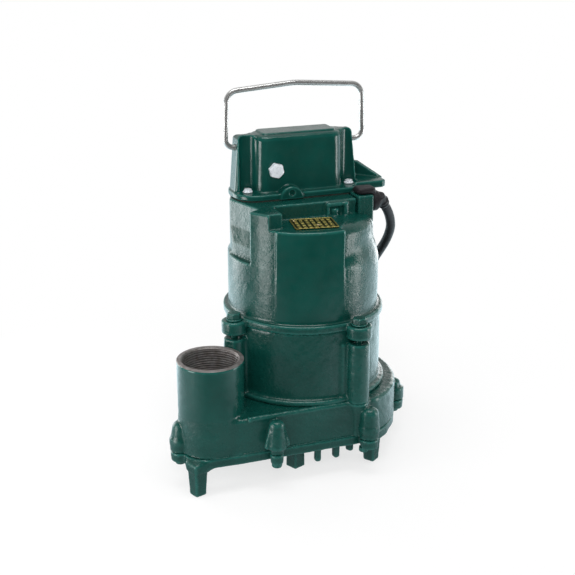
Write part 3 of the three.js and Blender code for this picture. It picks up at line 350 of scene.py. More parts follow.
def brass_plate():
    """Bare brass where the plate is raised, and dark filling between."""
    plate = Finish("brass_plate", Metallic=0.9)
    height = plate.node("ShaderNodeSeparateXYZ")
    plate.link(plate.place, height.inputs["Vector"])
    face = high("nameplate")[2] * MM
    raised = plate.spread(height.outputs["Z"], face - 0.00032, face - 0.00012, 0, 1)
    worn = plate.mix(plate.noise(2.2, 3, 0.6), (0.60, 0.50, 0.15), (0.36, 0.30, 0.09))
    plate.colour(plate.mix(raised, (0.040, 0.042, 0.012), worn))
    plate.rough_between(plate.noise(1.5, 3), 0.28, 0.5)
    plate.relief(plate.bump(plate.noise(0.6, 2), 0.02))
    return plate.material


def matte(name, dark, pale, size, roughness, depth):
    made = Finish(name)
    made.colour(made.mix(made.noise(size, 4, 0.65), dark, pale))
    made.rough_between(made.noise(size * 0.5, 2), *roughness)
    made.relief(made.bump(made.noise(size * 0.4, 3, 0.6), depth))
    return made.material


ENAMEL = green_enamel()
MACHINED = machined_iron()
RAW_IRON = raw_iron()
STAINLESS = metal(
    "stainless_wire", (0.66, 0.66, 0.65), (0.52, 0.52, 0.51), 9, (0.24, 0.34), 0.012, metallic=0.8
)
ZINC = metal("zinc_steel", (0.84, 0.88, 0.92), (0.70, 0.75, 0.80), 2.5, (0.24, 0.38), metallic=0.25)
BRASS_PLATE = brass_plate()
PLUG_BRASS = metal("plug_brass", (0.80, 0.66, 0.36), (0.62, 0.48, 0.24), 3, (0.2, 0.34))
CORD_RUBBER = rubber("cord_rubber", (0.010, 0.010, 0.012), (0.022, 0.022, 0.026), (0.42, 0.62))
SEAL_RUBBER = rubber("seal_rubber", (0.015, 0.015, 0.015), (0.03, 0.03, 0.03), (0.5, 0.7))
FIBRE = matte("gasket_fibre", (0.035, 0.033, 0.027), (0.075, 0.070, 0.058), 1.2, (0.75, 0.9), 0.08)
LAMINATED = laminated()
COPPER = metal("winding_copper", (0.62, 0.28, 0.12), (0.42, 0.17, 0.07), 1.6, (0.25, 0.45), 0.12, (1, 1, 3))
GROUND = metal("bearing_steel", (0.60, 0.60, 0.61), (0.48, 0.48, 0.50), 2, (0.16, 0.28))
CARBON = matte("seal_carbon", (0.03, 0.03, 0.032), (0.06, 0.06, 0.063), 1.5, (0.3, 0.45), 0.02)
PLASTIC = matte("terminal_plastic", (0.035, 0.032, 0.03), (0.055, 0.05, 0.047), 3, (0.4, 0.55), 0.03)


# ---------------------------------------------------------------- cord, coil and lead
CORD_ROUTE = [
    (72.5, -13.4, 226), (76.7, -10.7, 220.4), (82, -5.6, 211.6), (85.8, 0, 201.6),
    (87.2, 7, 191), (86.9, 15, 180.2), (86, 24, 169.6), (84.8, 36, 155),
    (83.9, 46.4, 135), (83.5, 55, 108), (83, 61, 74), (83.5, 64.9, 38.5),
    (85.8, 71.2, 22.6), (90.3, 83, 10.8), (97.2, 101.5, 5), (101.2, 112.2, 4.6),
    (103.9, 119.5, 4.6),
]
COIL_TURN = math.radians(-20.48)
COIL_OUTER = 65.6
COIL_PITCH = 9.3
COIL_RISE = 9.2
COIL_TURNS = 3.75
COIL_STEPS = 72
LEAD_LENGTH = 24.0
SEAT = 0.3
ACROSS = np.array([math.cos(COIL_TURN), math.sin(COIL_TURN), 0])
AHEAD = np.array([-math.sin(COIL_TURN), math.cos(COIL_TURN), 0])


def smooth_route(points, steps):
    """A centripetal curve through points, with this many steps between each two."""
    points = np.array(points, float)
    points = np.vstack([2 * points[0] - points[1], points, 2 * points[-1] - points[-2]])
    line = []
    for before, start, end, after in zip(points, points[1:], points[2:], points[3:]):
        gaps = [np.linalg.norm(b - a) ** 0.5 for a, b in ((before, start), (start, end), (end, after))]
        leave = (start - before) / gaps[0] - (end - before) / (gaps[0] + gaps[1]) + (end - start) / gaps[1]
        reach = (end - start) / gaps[1] - (after - start) / (gaps[1] + gaps[2]) + (after - end) / gaps[2]
        leave, reach = leave * gaps[1], reach * gaps[1]
        t = (np.arange(steps) / steps)[:, None]
        line.append(
            start + leave * t + (3 * (end - start) - 2 * leave - reach) * t**2
            + (2 * (start - end) + leave + reach) * t**3
        )
    return np.vstack([*line, points[-2:-1]])


def coil_route():
    """Loops that spiral in on the floor, climb in a half turn and spiral out again on top."""
    start = np.array(CORD_ROUTE[-1]) + AHEAD * (SEAT + 2 * CORD_RADIUS)
    centre = start - ACROSS * COIL_OUTER
    count = round((2 * COIL_TURNS + 0.5) * COIL_STEPS)
    turns = np.linspace(0, 2 * COIL_TURNS + 0.5, count + 1)
    climb = np.clip((turns - COIL_TURNS) / 0.5, 0, 1)
    inner = COIL_OUTER - COIL_PITCH * COIL_TURNS
    radius = np.where(
        climb == 0, COIL_OUTER - COIL_PITCH * turns,
        np.where(
            climb == 1, inner + COIL_PITCH * (turns - COIL_TURNS - 0.5),
            inner - COIL_PITCH * 0.5 * climb * (1 - climb),
        ),
    )
    angle = turns * 2 * math.pi
    loops = centre + np.outer(radius * np.cos(angle), ACROSS) + np.outer(radius * np.sin(angle), AHEAD)
    loops[:, 2] += COIL_RISE * climb * climb * (3 - 2 * climb)
    return loops


def ring_faces(count, sides):
    """The faces between each ring of points and the next."""
    faces = []
    for ring in range(count - 1):
        first, second = ring * sides, (ring + 1) * sides
        for edge in range(sides):
            after = (edge + 1) % sides
            faces.append((first + edge, first + after, second + after, second + edge))
    return faces


def tube(name, line, radius, sides, finish):
    """A closed round tube along points; radius is one number or one for each point."""
    along = np.gradient(line, axis=0)
    along /= np.linalg.norm(along, axis=1)[:, None]
    side = np.cross(along[0], [0.02, 0.03, 1.0])
    frames = []
    for direction in along:
        side = side - direction * (side @ direction)
        side /= np.linalg.norm(side)
        frames.append((side, np.cross(direction, side)))
    angles = np.arange(sides) / sides * 2 * math.pi
    radii = np.broadcast_to(radius, len(line))
    rings = [
        centre + r * (np.outer(np.cos(angles), u) + np.outer(np.sin(angles), v))
        for centre, r, (u, v) in zip(line, radii, frames)
    ]
    points = np.vstack([*rings, line[:1], line[-1:]])
    faces = ring_faces(len(line), sides)
    last = (len(line) - 1) * sides
    start, end = len(points) - 2, len(points) - 1
    for edge in range(sides):
        after = (edge + 1) % sides
        faces.append((start, after, edge))
        faces.append((end, last + edge, last + after))
    return mesh_piece(name, points, faces, finish)


def make_cord():
    free = smooth_route(CORD_ROUTE, 8)
    loops = coil_route()
    straight = np.linspace(0, LEAD_LENGTH + 2 * CORD_RADIUS, 10)[1:, None]
    lead = loops[-1] + AHEAD * straight
    bridge = free[-1] + AHEAD * np.array([[2.9], [5.8]])
    line = np.vstack([free, bridge, loops, lead])
    length = np.linalg.norm(np.diff(line, axis=0), axis=1).sum() * MM
    piece = tube("power_cord_run", line, CORD_RADIUS, 20, CORD_RUBBER)
    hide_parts("power_cord", "power_cord_coil", "power_cord_lead")
    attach(piece, "pump")
    return piece, line, length


cord_piece, cord_line, cord_length = make_cord()


# ---------------------------------------------------------------- castings as distance fields
def soft_min(first, second, seam):
    """The lesser of two distances, with a rounded seam of this width where they meet."""
    if seam <= 0:
        return np.minimum(first, second)
    share = np.clip(0.5 + 0.5 * (second - first) / seam, 0, 1)
    return second + (first - second) * share - seam * share * (1 - share)


def slab(plan, z, bottom, top, edge):
    """A plan's distance raised from bottom to top, with rounded edges."""
    beside = plan + edge
    above = np.abs(z - (bottom + top) / 2) - (top - bottom) / 2 + edge
    outside = np.hypot(np.maximum(beside, 0), np.maximum(above, 0))
    return np.minimum(np.maximum(beside, above), 0) + outside - edge


def oblong(x, y, half_x, half_y, corner):
    across, along = np.abs(x) - half_x + corner, np.abs(y) - half_y + corner
    outside = np.hypot(np.maximum(across, 0), np.maximum(along, 0))
    return np.minimum(np.maximum(across, along), 0) + outside - corner


def polygon(x, y, corners):
    """Distance to a straight-sided outline, less than nought inside."""
    nearest, inside = None, False
    for (x0, y0), (x1, y1) in zip(corners, corners[1:] + corners[:1]):
        run, rise = x1 - x0, y1 - y0
        share = np.clip(((x - x0) * run + (y - y0) * rise) / (run * run + rise * rise), 0, 1)
        gap = np.hypot(x - x0 - share * run, y - y0 - share * rise)
        nearest = gap if nearest is None else np.minimum(nearest, gap)
        crosses = (y0 > y) != (y1 > y)
        left_of = x < x0 + (y - y0) * (run / (rise if rise else 1e-9))
        inside = inside ^ (crosses & left_of)
    return np.where(inside, -nearest, nearest)


def lumps(points, size, seed):
    """Smooth seeded unevenness of about plus or minus one, with lumps of this size."""
    draw = np.random.default_rng(seed)
    total = np.zeros(len(points))
    waves = 18
    for _ in range(waves):
        direction = draw.normal(size=3)
        direction *= 2 * math.pi / size * draw.uniform(0.6, 1.5) / np.linalg.norm(direction)
        total += np.sin(points @ direction + draw.uniform(0, 2 * math.pi))
    return total / math.sqrt(waves)


class Casting:
    """A solid of forms joined and cut with rounded seams, in millimetres about the shaft axis."""

    def __init__(self, lowest, highest, step):
        self.step = step * COARSE
        self.axes = [
            np.arange(a - 2 * self.step, b + 3 * self.step, self.step) for a, b in zip(lowest, highest)
        ]
        self.forms = []

    def put(self, form, lowest, highest, seam=1.5, cut=False):
        self.forms.append((form, np.array(lowest, float), np.array(highest, float), seam, cut))

    def post(self, at, bottom, top, radius, tip=None, edge=0.8, seam=1.5, cut=False):
        """An upright round post or hole, of another radius at its top where tip says so."""
        tip = radius if tip is None else tip

        def form(x, y, z):
            share = np.clip((z - bottom) / (top - bottom), 0, 1)
            return slab(np.hypot(x - at[0], y - at[1]) - radius - (tip - radius) * share,
                        z, bottom, top, edge)

        reach = max(radius, tip)
        self.put(form, (at[0] - reach, at[1] - reach, bottom),
                 (at[0] + reach, at[1] + reach, top), seam, cut)

    def hole(self, at, bottom, top, radius, seam=0.3):
        """An upright round hole with sharp ends."""
        self.post(at, bottom, top, radius, edge=0, seam=seam, cut=True)

    def bar(self, start, end, radius, edge=0.5, seam=1.0, cut=False):
        """A round bar or hole between two points."""
        start, end = np.array(start, float), np.array(end, float)
        length = np.linalg.norm(end - start)
        run = (end - start) / length

        def form(x, y, z):
            dx, dy, dz = x - start[0], y - start[1], z - start[2]
            along = dx * run[0] + dy * run[1] + dz * run[2]
            beside = np.sqrt(np.maximum(dx * dx + dy * dy + dz * dz - along * along, 0)) - radius
            return slab(beside, along, 0, length, edge)

        self.put(form, np.minimum(start, end) - radius, np.maximum(start, end) + radius, seam, cut)

    def block(self, x0, x1, y0, y1, z0, z1, corner=1.0, edge=1.0, seam=1.5, cut=False,
              turn=0.0, about=(0, 0)):
        """An upright block with rounded corners, turned by degrees about a place."""
        angle = math.radians(turn)
        cos, sin = math.cos(angle), math.sin(angle)
        cx, cy = (x0 + x1) / 2, (y0 + y1) / 2

        def form(x, y, z):
            dx, dy = x - about[0], y - about[1]
            return slab(oblong(dx * cos + dy * sin - cx, dy * cos - dx * sin - cy,
                               (x1 - x0) / 2, (y1 - y0) / 2, corner), z, z0, z1, edge)

        reach = math.hypot(x1 - x0, y1 - y0) / 2 if turn else None
        at = (about[0] + cx * cos - cy * sin, about[1] + cx * sin + cy * cos)
        half = (reach, reach) if turn else ((x1 - x0) / 2, (y1 - y0) / 2)
        self.put(form, (at[0] - half[0], at[1] - half[1], z0),
                 (at[0] + half[0], at[1] + half[1], z1), seam, cut)

    def raised(self, plan, lowest, highest, bottom, top, edge=1.0, seam=1.5, cut=False):
        """A plan, a function of x and y, raised between two heights."""
        self.put(lambda x, y, z: slab(plan(x, y), z, bottom, top, edge),
                 (*lowest, bottom), (*highest, top), seam, cut)

    def everywhere(self, form, seam=0.5, cut=False):
        ends = [(axis[0], axis[-1]) for axis in self.axes]
        self.put(form, [a for a, _ in ends], [b for _, b in ends], seam, cut)

    def trim_above(self, height, seam=0.4):
        """Cuts away all that lies above a height."""
        self.everywhere(lambda x, y, z: height - z + 0 * x + 0 * y, seam, cut=True)

    def trim_below(self, height, seam=0.4):
        """Cuts away all that lies below a height."""
        self.everywhere(lambda x, y, z: z - height + 0 * x + 0 * y, seam, cut=True)

    @staticmethod
    def combine(old, new, seam, cut):
        return -soft_min(-old, new, seam) if cut else soft_min(old, new, seam)

    def grid(self):
        field = np.full([len(axis) for axis in self.axes], 40.0)
        for form, lowest, highest, seam, cut in self.forms:
            reach = seam + 3 * self.step
            window = tuple(
                slice(*np.searchsorted(axis, (a - reach, b + reach)))
                for axis, a, b in zip(self.axes, lowest, highest)
            )
            spots = np.meshgrid(*[axis[w] for axis, w in zip(self.axes, window)], indexing="ij", sparse=True)
            field[window] = self.combine(field[window], form(*spots), seam, cut)
        return field

    def at(self, points):
        """The distance at separate points."""
        value = np.full(len(points), 40.0)
        for form, lowest, highest, seam, cut in self.forms:
            reach = seam + 3 * self.step
            near = np.all((points > lowest - reach) & (points < highest + reach), axis=1)
            spots = points[near]
            value[near] = self.combine(value[near], form(*spots.T), seam, cut)
        return value

    def slope(self, points):
        """The way out of the solid at points near its surface."""
        steps = np.array([(1, -1, -1), (-1, -1, 1), (-1, 1, -1), (1, 1, 1)]) * 0.05
        way = sum(step * self.at(points + step)[:, None] for step in steps)
        return way / np.maximum(np.linalg.norm(way, axis=1), 1e-9)[:, None]

    def net(self):
        """One point in each cell that the surface crosses, and a face round each crossed edge."""
        field = self.grid()
        faces, places = [], []
        for axis in range(3):
            first, second = [slice(None)] * 3, [slice(None)] * 3
            first[axis], second[axis] = slice(None, -1), slice(1, None)
            near, far = field[tuple(first)], field[tuple(second)]
            edges = np.argwhere((near < 0) != (far < 0))
            inner, outer = near[tuple(edges.T)], far[tuple(edges.T)]
            place = edges.astype(float)
            place[:, axis] += inner / (inner - outer)
            cells = []
            for across, along in ((0, 0), (1, 0), (1, 1), (0, 1)):
                cell = edges.copy()
                cell[:, (axis + 1) % 3] -= across
                cell[:, (axis + 2) % 3] -= along
                cells.append(np.ravel_multi_index(cell.T, field.shape))
            cells = np.stack(cells, axis=1)
            # Known fault: some faces end up facing inwards, as on the soles of the feet. The likely
            # cause, not tested, is that inner is nought where the surface lies on a grid plane.
            inward = inner > 0
            cells[inward] = cells[inward][:, ::-1]
            faces.append(cells)
            places.append(np.repeat(place, 4, axis=0))
        cells, faces = np.unique(np.vstack(faces).ravel(), return_inverse=True)
        places = np.vstack(places)
        counts = np.bincount(faces)
        points = np.stack([np.bincount(faces, places[:, k]) / counts for k in range(3)], axis=1)
        origin = np.array([axis[0] for axis in self.axes])
        return origin + points * self.step, faces.reshape(-1, 4)

    def settle(self, points, faces, rounds=2):
        """Evens out the points and brings each onto the surface."""
        start, end = faces.ravel(), np.roll(faces, -1, axis=1).ravel()
        joined = np.bincount(start, minlength=len(points)) + np.bincount(end, minlength=len(points))
        for _ in range(rounds):
            mean = np.stack([
                np.bincount(start, points[end, k], len(points))
                + np.bincount(end, points[start, k], len(points))
                for k in range(3)
            ], axis=1) / joined[:, None]
            out = self.slope(points)
            drift = mean - points
            points = points + 0.6 * (drift - out * np.sum(drift * out, axis=1)[:, None])
            out = self.slope(points)
            points = points - out * np.clip(self.at(points), -self.step, self.step)[:, None]
        return points, self.slope(points)

    def piece(self, name, finish, skin=0.1, seed=1, fine_where=None):
        """The casting's object; skin is how uneven its surface is, in millimetres."""
        points, faces = self.net()
        points, out = self.settle(points, faces)
        uneven = lumps(points, 11, seed) + 0.55 * lumps(points, 4.5, seed + 1)
        fine = np.zeros(len(points)) if fine_where is None else fine_where(points)
        uneven = uneven * (1 - 0.6 * fine)
        points = np.clip(points + out * (skin * uneven)[:, None], BOX_LOW, BOX_HIGH)
        piece = mesh_piece(name, points, faces, finish)
        piece.data.attributes.new("fine_cast", "FLOAT", "POINT").data.foreach_set("value", fine)
        return piece


def carried(piece, slot, body, *nodes):
    if nodes:
        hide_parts(*nodes)
    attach(piece, body)
    return piece


def enamelled(solid, name, node, skin, seed, fine_where=None):
    """A casting's piece in green enamel, in the place of its node on the pump."""
    piece = solid.piece(name, ENAMEL, skin, seed, fine_where)
    return carried(piece, "green_enamel", "pump", node)


# ---------------------------------------------------------------- volute and base plate
def volute_plan(round_radius, boss_radius, front):
    """The plan of the volute: a round casing and the discharge boss in one hull, flat in front."""
    span = math.hypot(*DISCHARGE)
    ux, uy = DISCHARGE[0] / span, DISCHARGE[1] / span
    lean = (round_radius - boss_radius) / span
    rest = math.sqrt(1 - lean * lean)

    def plan(x, y):
        along = x * ux + y * uy
        beside = np.abs(y * ux - x * uy)
        reach = along * rest - beside * lean
        flank = beside * rest + along * lean - round_radius
        hull = np.where(
            reach < 0, np.hypot(along, beside) - round_radius,
            np.where(reach > rest * span, np.hypot(along - span, beside) - boss_radius, flank),
        )
        return -soft_min(-hull, front + y, 3.0)

    return plan


PLAN_LOW = (-135, -90)
PLAN_HIGH = (90, 90)


def outward(at):
    """The way a lug faces: away from the casing's wall."""
    x, y = at
    if x < DISCHARGE[0] - BOSS_RADIUS + 4:
        return (-1.0, 0.0)
    if y < -VOLUTE_FRONT:
        return (0.0, -1.0)
    if x < -90:
        return (-0.82, 0.572)
    return (x / math.hypot(x, y), y / math.hypot(x, y))


def fillet_leg(solid, at, turn, root, half_low=5.3, half_high=6.6):
    """A square leg, wider at its top, with a hollow root of this size where it meets the plate."""
    angle = math.radians(turn)
    cos, sin = math.cos(angle), math.sin(angle)

    def form(x, y, z):
        share = np.clip(z / LEG_HEIGHT, 0, 1)
        half = half_low + (half_high - half_low) * share
        dx, dy = x - at[0], y - at[1]
        return slab(oblong(dx * cos + dy * sin, dy * cos - dx * sin, half, half, 1.6),
                    z, 0, LEG_HEIGHT + 4, FOOT_EDGE)

    reach = half_high * 1.5
    solid.put(form, (at[0] - reach, at[1] - reach, 0), (at[0] + reach, at[1] + reach, LEG_HEIGHT + 4), root)


LEGS = [(-121.6, -66.2, 20, 10.0), (44.6, -58.9, 35, 10.0), (46.4, 60.1, -35, 8.0), (-62.0, 56.0, 42, 8.0)]
TEETH = 18
TEETH_RADIUS = 53.0
TOOTH = (7.0, 5.6, 4.4)
TOOTH_START = -116.0
MIDDLE_LEG = (-24.6, -46.7, 24.5, 6.2)
FOOT_EDGE = 1.3  # the rounding at the foot of each leg


def base_plate():
    solid = Casting((-142, -92, 0), (100, 98, PLATE_TOP), 1.15)
    plan = volute_plan(VOLUTE_RADIUS, BOSS_RADIUS, VOLUTE_FRONT)
    solid.raised(plan, PLAN_LOW, PLAN_HIGH, LEG_HEIGHT, PLATE_TOP + 4, 1.2, 0)
    for at, (radius, _, _, _) in zip(LUG_PLACES, LUG_SIZES):
        solid.post(at, LEG_HEIGHT - 0.5, PLATE_TOP + 4, radius - 0.8, radius, 1.2, 2.5)
    for x, y, turn, root in LEGS:
        fillet_leg(solid, (x, y), turn, root)
    depth, width, ground = TOOTH
    for index in range(1, TEETH):
        solid.block(TEETH_RADIUS - depth / 2, TEETH_RADIUS + depth / 2, -width / 2, width / 2,
                    ground, LEG_HEIGHT + 3, 2.2, 1.8, 7.0, turn=TOOTH_START + index * 360 / TEETH)
    x, y, turn, half = MIDDLE_LEG
    solid.block(-half, half, -half, half, 0, LEG_HEIGHT + 3, 1.6, FOOT_EDGE, 5.0, turn=turn, about=(x, y))
    solid.hole((0, 0), LEG_HEIGHT - 6, PLATE_TOP + 5, EYE_RADIUS, 3)
    for at in LUGS:
        solid.hole(at, LEG_HEIGHT - 4, PLATE_TOP + 4, SCREW_HOLE, 0.4)
    solid.trim_above(PLATE_TOP)
    return enamelled(solid, "base_casting", "base_plate", CAST_SKIN, 11)


# For each lug: radius at the plate, and the bell's radius, height and tip radius on the volute.
LUG_SIZES = [
    (8.6, 9.4, 28.5, 7.6), (6.2, 11.6, 30.5, 7.0), (9.6, 10.2, 27.0, 6.0), (9.0, 9.2, 20.0, 5.6),
    (9.0, 10.4, 27.0, 5.0), (9.0, 10.4, 27.0, 5.0), (9.0, 10.4, 27.0, 5.0),
]
RIBBED = (False, True, False, True, True, True, True)
LUG_PLACES = [
    (31.4, -82.4), (-55.0, -82.0), (-130.0, -46.0), LUGS[3], LUGS[4], LUGS[5], LUGS[6],
]
BELL_LOW = 4.0
LEFT_RIDGE = ((-121.5, -60.0), (-123.5, -56.0), 24.0, 4.2)
SLIM_COLUMN = (23.4, -74.6, 4.9)
TOP_BEAD = ((-78.0, -73.7), (18.0, -73.7), 2.5)


def lug_on_wall(solid, at, size, ribbed):
    """A bell-shaped screw lug over its stem; some have three ribs that spread down the bell."""
    stem, bell, height, tip = size
    ox, oy = outward(at)
    tx, ty = -oy, ox
    top = VOLUTE_LOW + height
    low_end = VOLUTE_LOW + BELL_LOW
    solid.post(at, VOLUTE_LOW - 8, VOLUTE_LOW + 12, stem, edge=2, seam=1.5)
    if not ribbed:
        solid.post(at, low_end, top, bell, tip, min(tip, 4.8), 2.2)
        return
    solid.post(at, low_end, top, bell - 2.2, tip - 1.0, min(tip, 4.0), 2.2)
    for side in (-1, 0, 1):
        wide, proud = side * bell * 0.82, (bell - 4.2) * (1 - abs(side) * 0.9)
        foot = (at[0] + tx * wide + ox * proud, at[1] + ty * wide + oy * proud, low_end + 1.5)
        wide, proud = side * tip * 0.55, tip * 0.42 * (1 - abs(side))
        head = (at[0] + tx * wide + ox * proud, at[1] + ty * wide + oy * proud, top - 2.4)
        solid.bar(foot, head, 2.5, 2.0, 0.9)


def fine_boss(points):
    """The discharge boss has a finer skin than the rest of the volute."""
    reach = np.hypot(points[:, 0] - DISCHARGE[0], points[:, 1] - DISCHARGE[1]) - BOSS_RADIUS
    return np.clip(1.5 - reach / 2, 0, 1) * np.clip((points[:, 2] - VOLUTE_TOP) / 4, 0, 1)


def volute():
    solid = Casting((-142, -93, VOLUTE_LOW), (100, 98, RIM_TOP), 1.15)
    plan = volute_plan(VOLUTE_RADIUS, BOSS_RADIUS - 1.3, VOLUTE_FRONT)
    solid.raised(plan, PLAN_LOW, PLAN_HIGH, VOLUTE_LOW - 8, VOLUTE_TOP, 3.4, 0)
    solid.post(DISCHARGE, VOLUTE_LOW - 8, RIM_TOP - 0.6, BOSS_RADIUS, BOSS_RADIUS + 0.4, edge=0.4, seam=3)
    for at, size, ribbed in zip(LUG_PLACES, LUG_SIZES, RIBBED):
        lug_on_wall(solid, at, size, ribbed)
    bead_start, bead_end, bead = TOP_BEAD
    solid.bar((*bead_start, VOLUTE_TOP - 1.4), (*bead_end, VOLUTE_TOP - 1.4), bead, 0.5, 1.2)
    foot, head, height, radius = LEFT_RIDGE
    solid.bar((*foot, VOLUTE_LOW - 8), (*head, VOLUTE_LOW + height), radius, 3.0, 3.0)
    solid.post(SLIM_COLUMN[:2], VOLUTE_LOW - 8, VOLUTE_TOP, SLIM_COLUMN[2], edge=1.6, seam=1.5)
    for at in BOLTS:
        foot_radius = 4.5 if at[1] < -VOLUTE_FRONT + 5 else COLUMN_RADIUS + 0.6
        base = VOLUTE_TOP - 15 if at[1] < -VOLUTE_FRONT + 5 else VOLUTE_LOW
        solid.post(at, base, VOLUTE_TOP, foot_radius, COLUMN_RADIUS + 0.6, edge=1.6, seam=3)
    inner_top = VOLUTE_TOP - 6.2
    solid.post((0, 0), VOLUTE_LOW - 9, inner_top, CAVITY_RADIUS, edge=3, seam=2, cut=True)
    channel = volute_plan(2 * CHANNEL_RADIUS, CHANNEL_RADIUS, VOLUTE_FRONT - 8)
    solid.raised(channel, PLAN_LOW, (45, 45), VOLUTE_LOW - 9, inner_top, 3, 2, cut=True)
    solid.hole(DISCHARGE, inner_top - 6, RIM_TOP + 4, CHANNEL_RADIUS, 2)
    solid.hole(DISCHARGE, RIM_TOP - 26, RIM_TOP + 4, BORE_RADIUS + 1.2)
    solid.hole((0, 0), inner_top - 4, VOLUTE_TOP + 4, CAVITY_RADIUS - 20, 0.5)
    for at in LUGS:
        solid.hole(at, VOLUTE_LOW - 9, VOLUTE_LOW + 6, SCREW_HOLE)
    for at in BOLTS:
        solid.hole(at, VOLUTE_TOP - 11, VOLUTE_TOP + 5, BOLT_HOLE)
    solid.trim_below(VOLUTE_LOW)
    return enamelled(solid, "volute_body", "volute_casing", CAST_SKIN, 21, fine_boss)


# ---------------------------------------------------------------- threaded rim of the discharge
def lathe(name, at, profile, sides, finish, sharp=30.0):
    """A closed profile of (radius, height) pairs turned about an upright axis."""
    angles = np.arange(sides) / sides * 2 * math.pi
    points, faces = [], []
    for angle in angles:
        points += [(at[0] + r * math.cos(angle), at[1] + r * math.sin(angle), z) for r, z in profile]
    count = len(profile)
    for turn in range(sides):
        here, there = turn * count, ((turn + 1) % sides) * count
        for index in range(count):
            after = (index + 1) % count
            faces.append((here + index, there + index, there + after, here + after))
    piece = mesh_piece(name, points, faces, finish)
    keep_sharp(piece, sharp)
    return piece


def keep_sharp(piece, degrees):
    """Flat shading across edges sharper than this many degrees."""
    bpy.context.view_layer.objects.active = piece
    for other in bpy.context.selected_objects:
        other.select_set(False)
    piece.select_set(True)
    bpy.ops.object.shade_smooth_by_angle(angle=math.radians(degrees))
    piece.select_set(False)


def input_tree(name, inputs):
    """A node group for geometry with named inputs."""
    tree = bpy.data.node_groups.new(name, "GeometryNodeTree")
    tree.interface.new_socket("Geometry", in_out="INPUT", socket_type="NodeSocketGeometry")
    for label, (kind, value) in inputs.items():
        socket = tree.interface.new_socket(label, in_out="INPUT", socket_type=kind)
        if value is not None:
            socket.default_value = value
    tree.interface.new_socket("Geometry", in_out="OUTPUT", socket_type="NodeSocketGeometry")
    return tree, tree.nodes.new("NodeGroupInput"), tree.nodes.new("NodeGroupOutput")


def grown(tree, name, base, values, finish):
    """The tree's result on a base mesh, as a plain mesh object."""
    modifier = base.modifiers.new("grow", "NODES")
    modifier.node_group = tree
    sockets = {item.name: item.identifier for item in tree.interface.items_tree if item.in_out == "INPUT"}
    for label, value in {**values, "Finish": finish}.items():
        modifier[sockets[label]] = value
    bpy.context.view_layer.update()
    graph = bpy.context.evaluated_depsgraph_get()
    data = bpy.data.meshes.new_from_object(base.evaluated_get(graph), depsgraph=graph)
    base.modifiers.clear()
    data.name = name
    piece = in_scene(name, data)
    bpy.data.objects.remove(base)
    return piece


def join_up(tree, links):
    """Links nodes: each row is a node and its output, then a node and its input."""
    for source, output, target, given in links:
        tree.links.new(source.outputs[output], target.inputs[given])


def helix_tree():
    """A profile swept along a helix: a pipe thread or a wound spring."""
    tree, given, result = input_tree("wound_helix", {
        "Turns": ("NodeSocketFloat", 10.0), "Low Radius": ("NodeSocketFloat", 0.02),
        "High Radius": ("NodeSocketFloat", 0.02), "Height": ("NodeSocketFloat", 0.02),
        "Wire": ("NodeSocketFloat", 0.001), "Sides": ("NodeSocketInt", 8),
        "Place": ("NodeSocketVector", None), "Finish": ("NodeSocketMaterial", None),
    })
    helix = tree.nodes.new("GeometryNodeCurveSpiral")
    helix.inputs["Resolution"].default_value = 72
    wire = tree.nodes.new("GeometryNodeCurvePrimitiveCircle")
    sweep = tree.nodes.new("GeometryNodeCurveToMesh")
    sweep.inputs["Fill Caps"].default_value = True
    move = tree.nodes.new("GeometryNodeTransform")
    real = tree.nodes.new("GeometryNodeRealizeInstances")
    smooth = tree.nodes.new("GeometryNodeSetShadeSmooth")
    paint = tree.nodes.new("GeometryNodeSetMaterial")
    join_up(tree, [
        (given, "Turns", helix, "Rotations"), (given, "Low Radius", helix, "Start Radius"),
        (given, "High Radius", helix, "End Radius"), (given, "Height", helix, "Height"),
        (given, "Wire", wire, "Radius"), (given, "Sides", wire, "Resolution"),
        (helix, "Curve", sweep, "Curve"), (wire, "Curve", sweep, "Profile Curve"),
        (sweep, "Mesh", move, "Geometry"), (given, "Place", move, "Translation"),
        (move, "Geometry", smooth, "Geometry"), (smooth, "Geometry", real, "Geometry"),
        (real, "Geometry", paint, "Geometry"), (given, "Finish", paint, "Material"),
        (paint, "Geometry", result, "Geometry"),
    ])
    return tree


def seed_points(name, points):
    """A mesh of loose points for a node tree to work on."""
    data = bpy.data.meshes.new(name)
    data.from_pydata(in_frame(points).tolist(), [], [])
    return in_scene(name, data)


THREAD_PITCH = 2.21
THREAD_TURNS = 10


def discharge_rim():
    face, root = RIM_TOP, BORE_RADIUS + 0.9
    depth = RIM_TOP - 25.5
    profile = [
        (root + 0.2, depth), (root + 0.2, face - 1.0), (RIM_RADIUS - 0.5, face - 1.0),
        (RIM_RADIUS - 0.1, face - 0.6), (RIM_RADIUS - 0.6, face), (BORE_RADIUS + 1.1, face),
        (BORE_RADIUS - 0.1, face - 1.3), (root - 0.1, face - 2.2), (root - 0.4, depth),
    ]
    carried(lathe("discharge_rim", DISCHARGE, profile, 120, MACHINED, 25), "impeller_iron", "pump")
    span = THREAD_TURNS * THREAD_PITCH
    thread = grown(HELIX, "discharge_thread", seed_points("thread", [(0, 0, 0)]), {
        "Turns": float(THREAD_TURNS), "Low Radius": (root - 0.35) * MM, "High Radius": (root - 0.05) * MM,
        "Height": span * MM, "Wire": 1.05 * MM, "Sides": 6,
        "Place": tuple(in_frame((*DISCHARGE, face - 2.4 - span))),
    }, MACHINED)
    carried(thread, "impeller_iron", "pump")


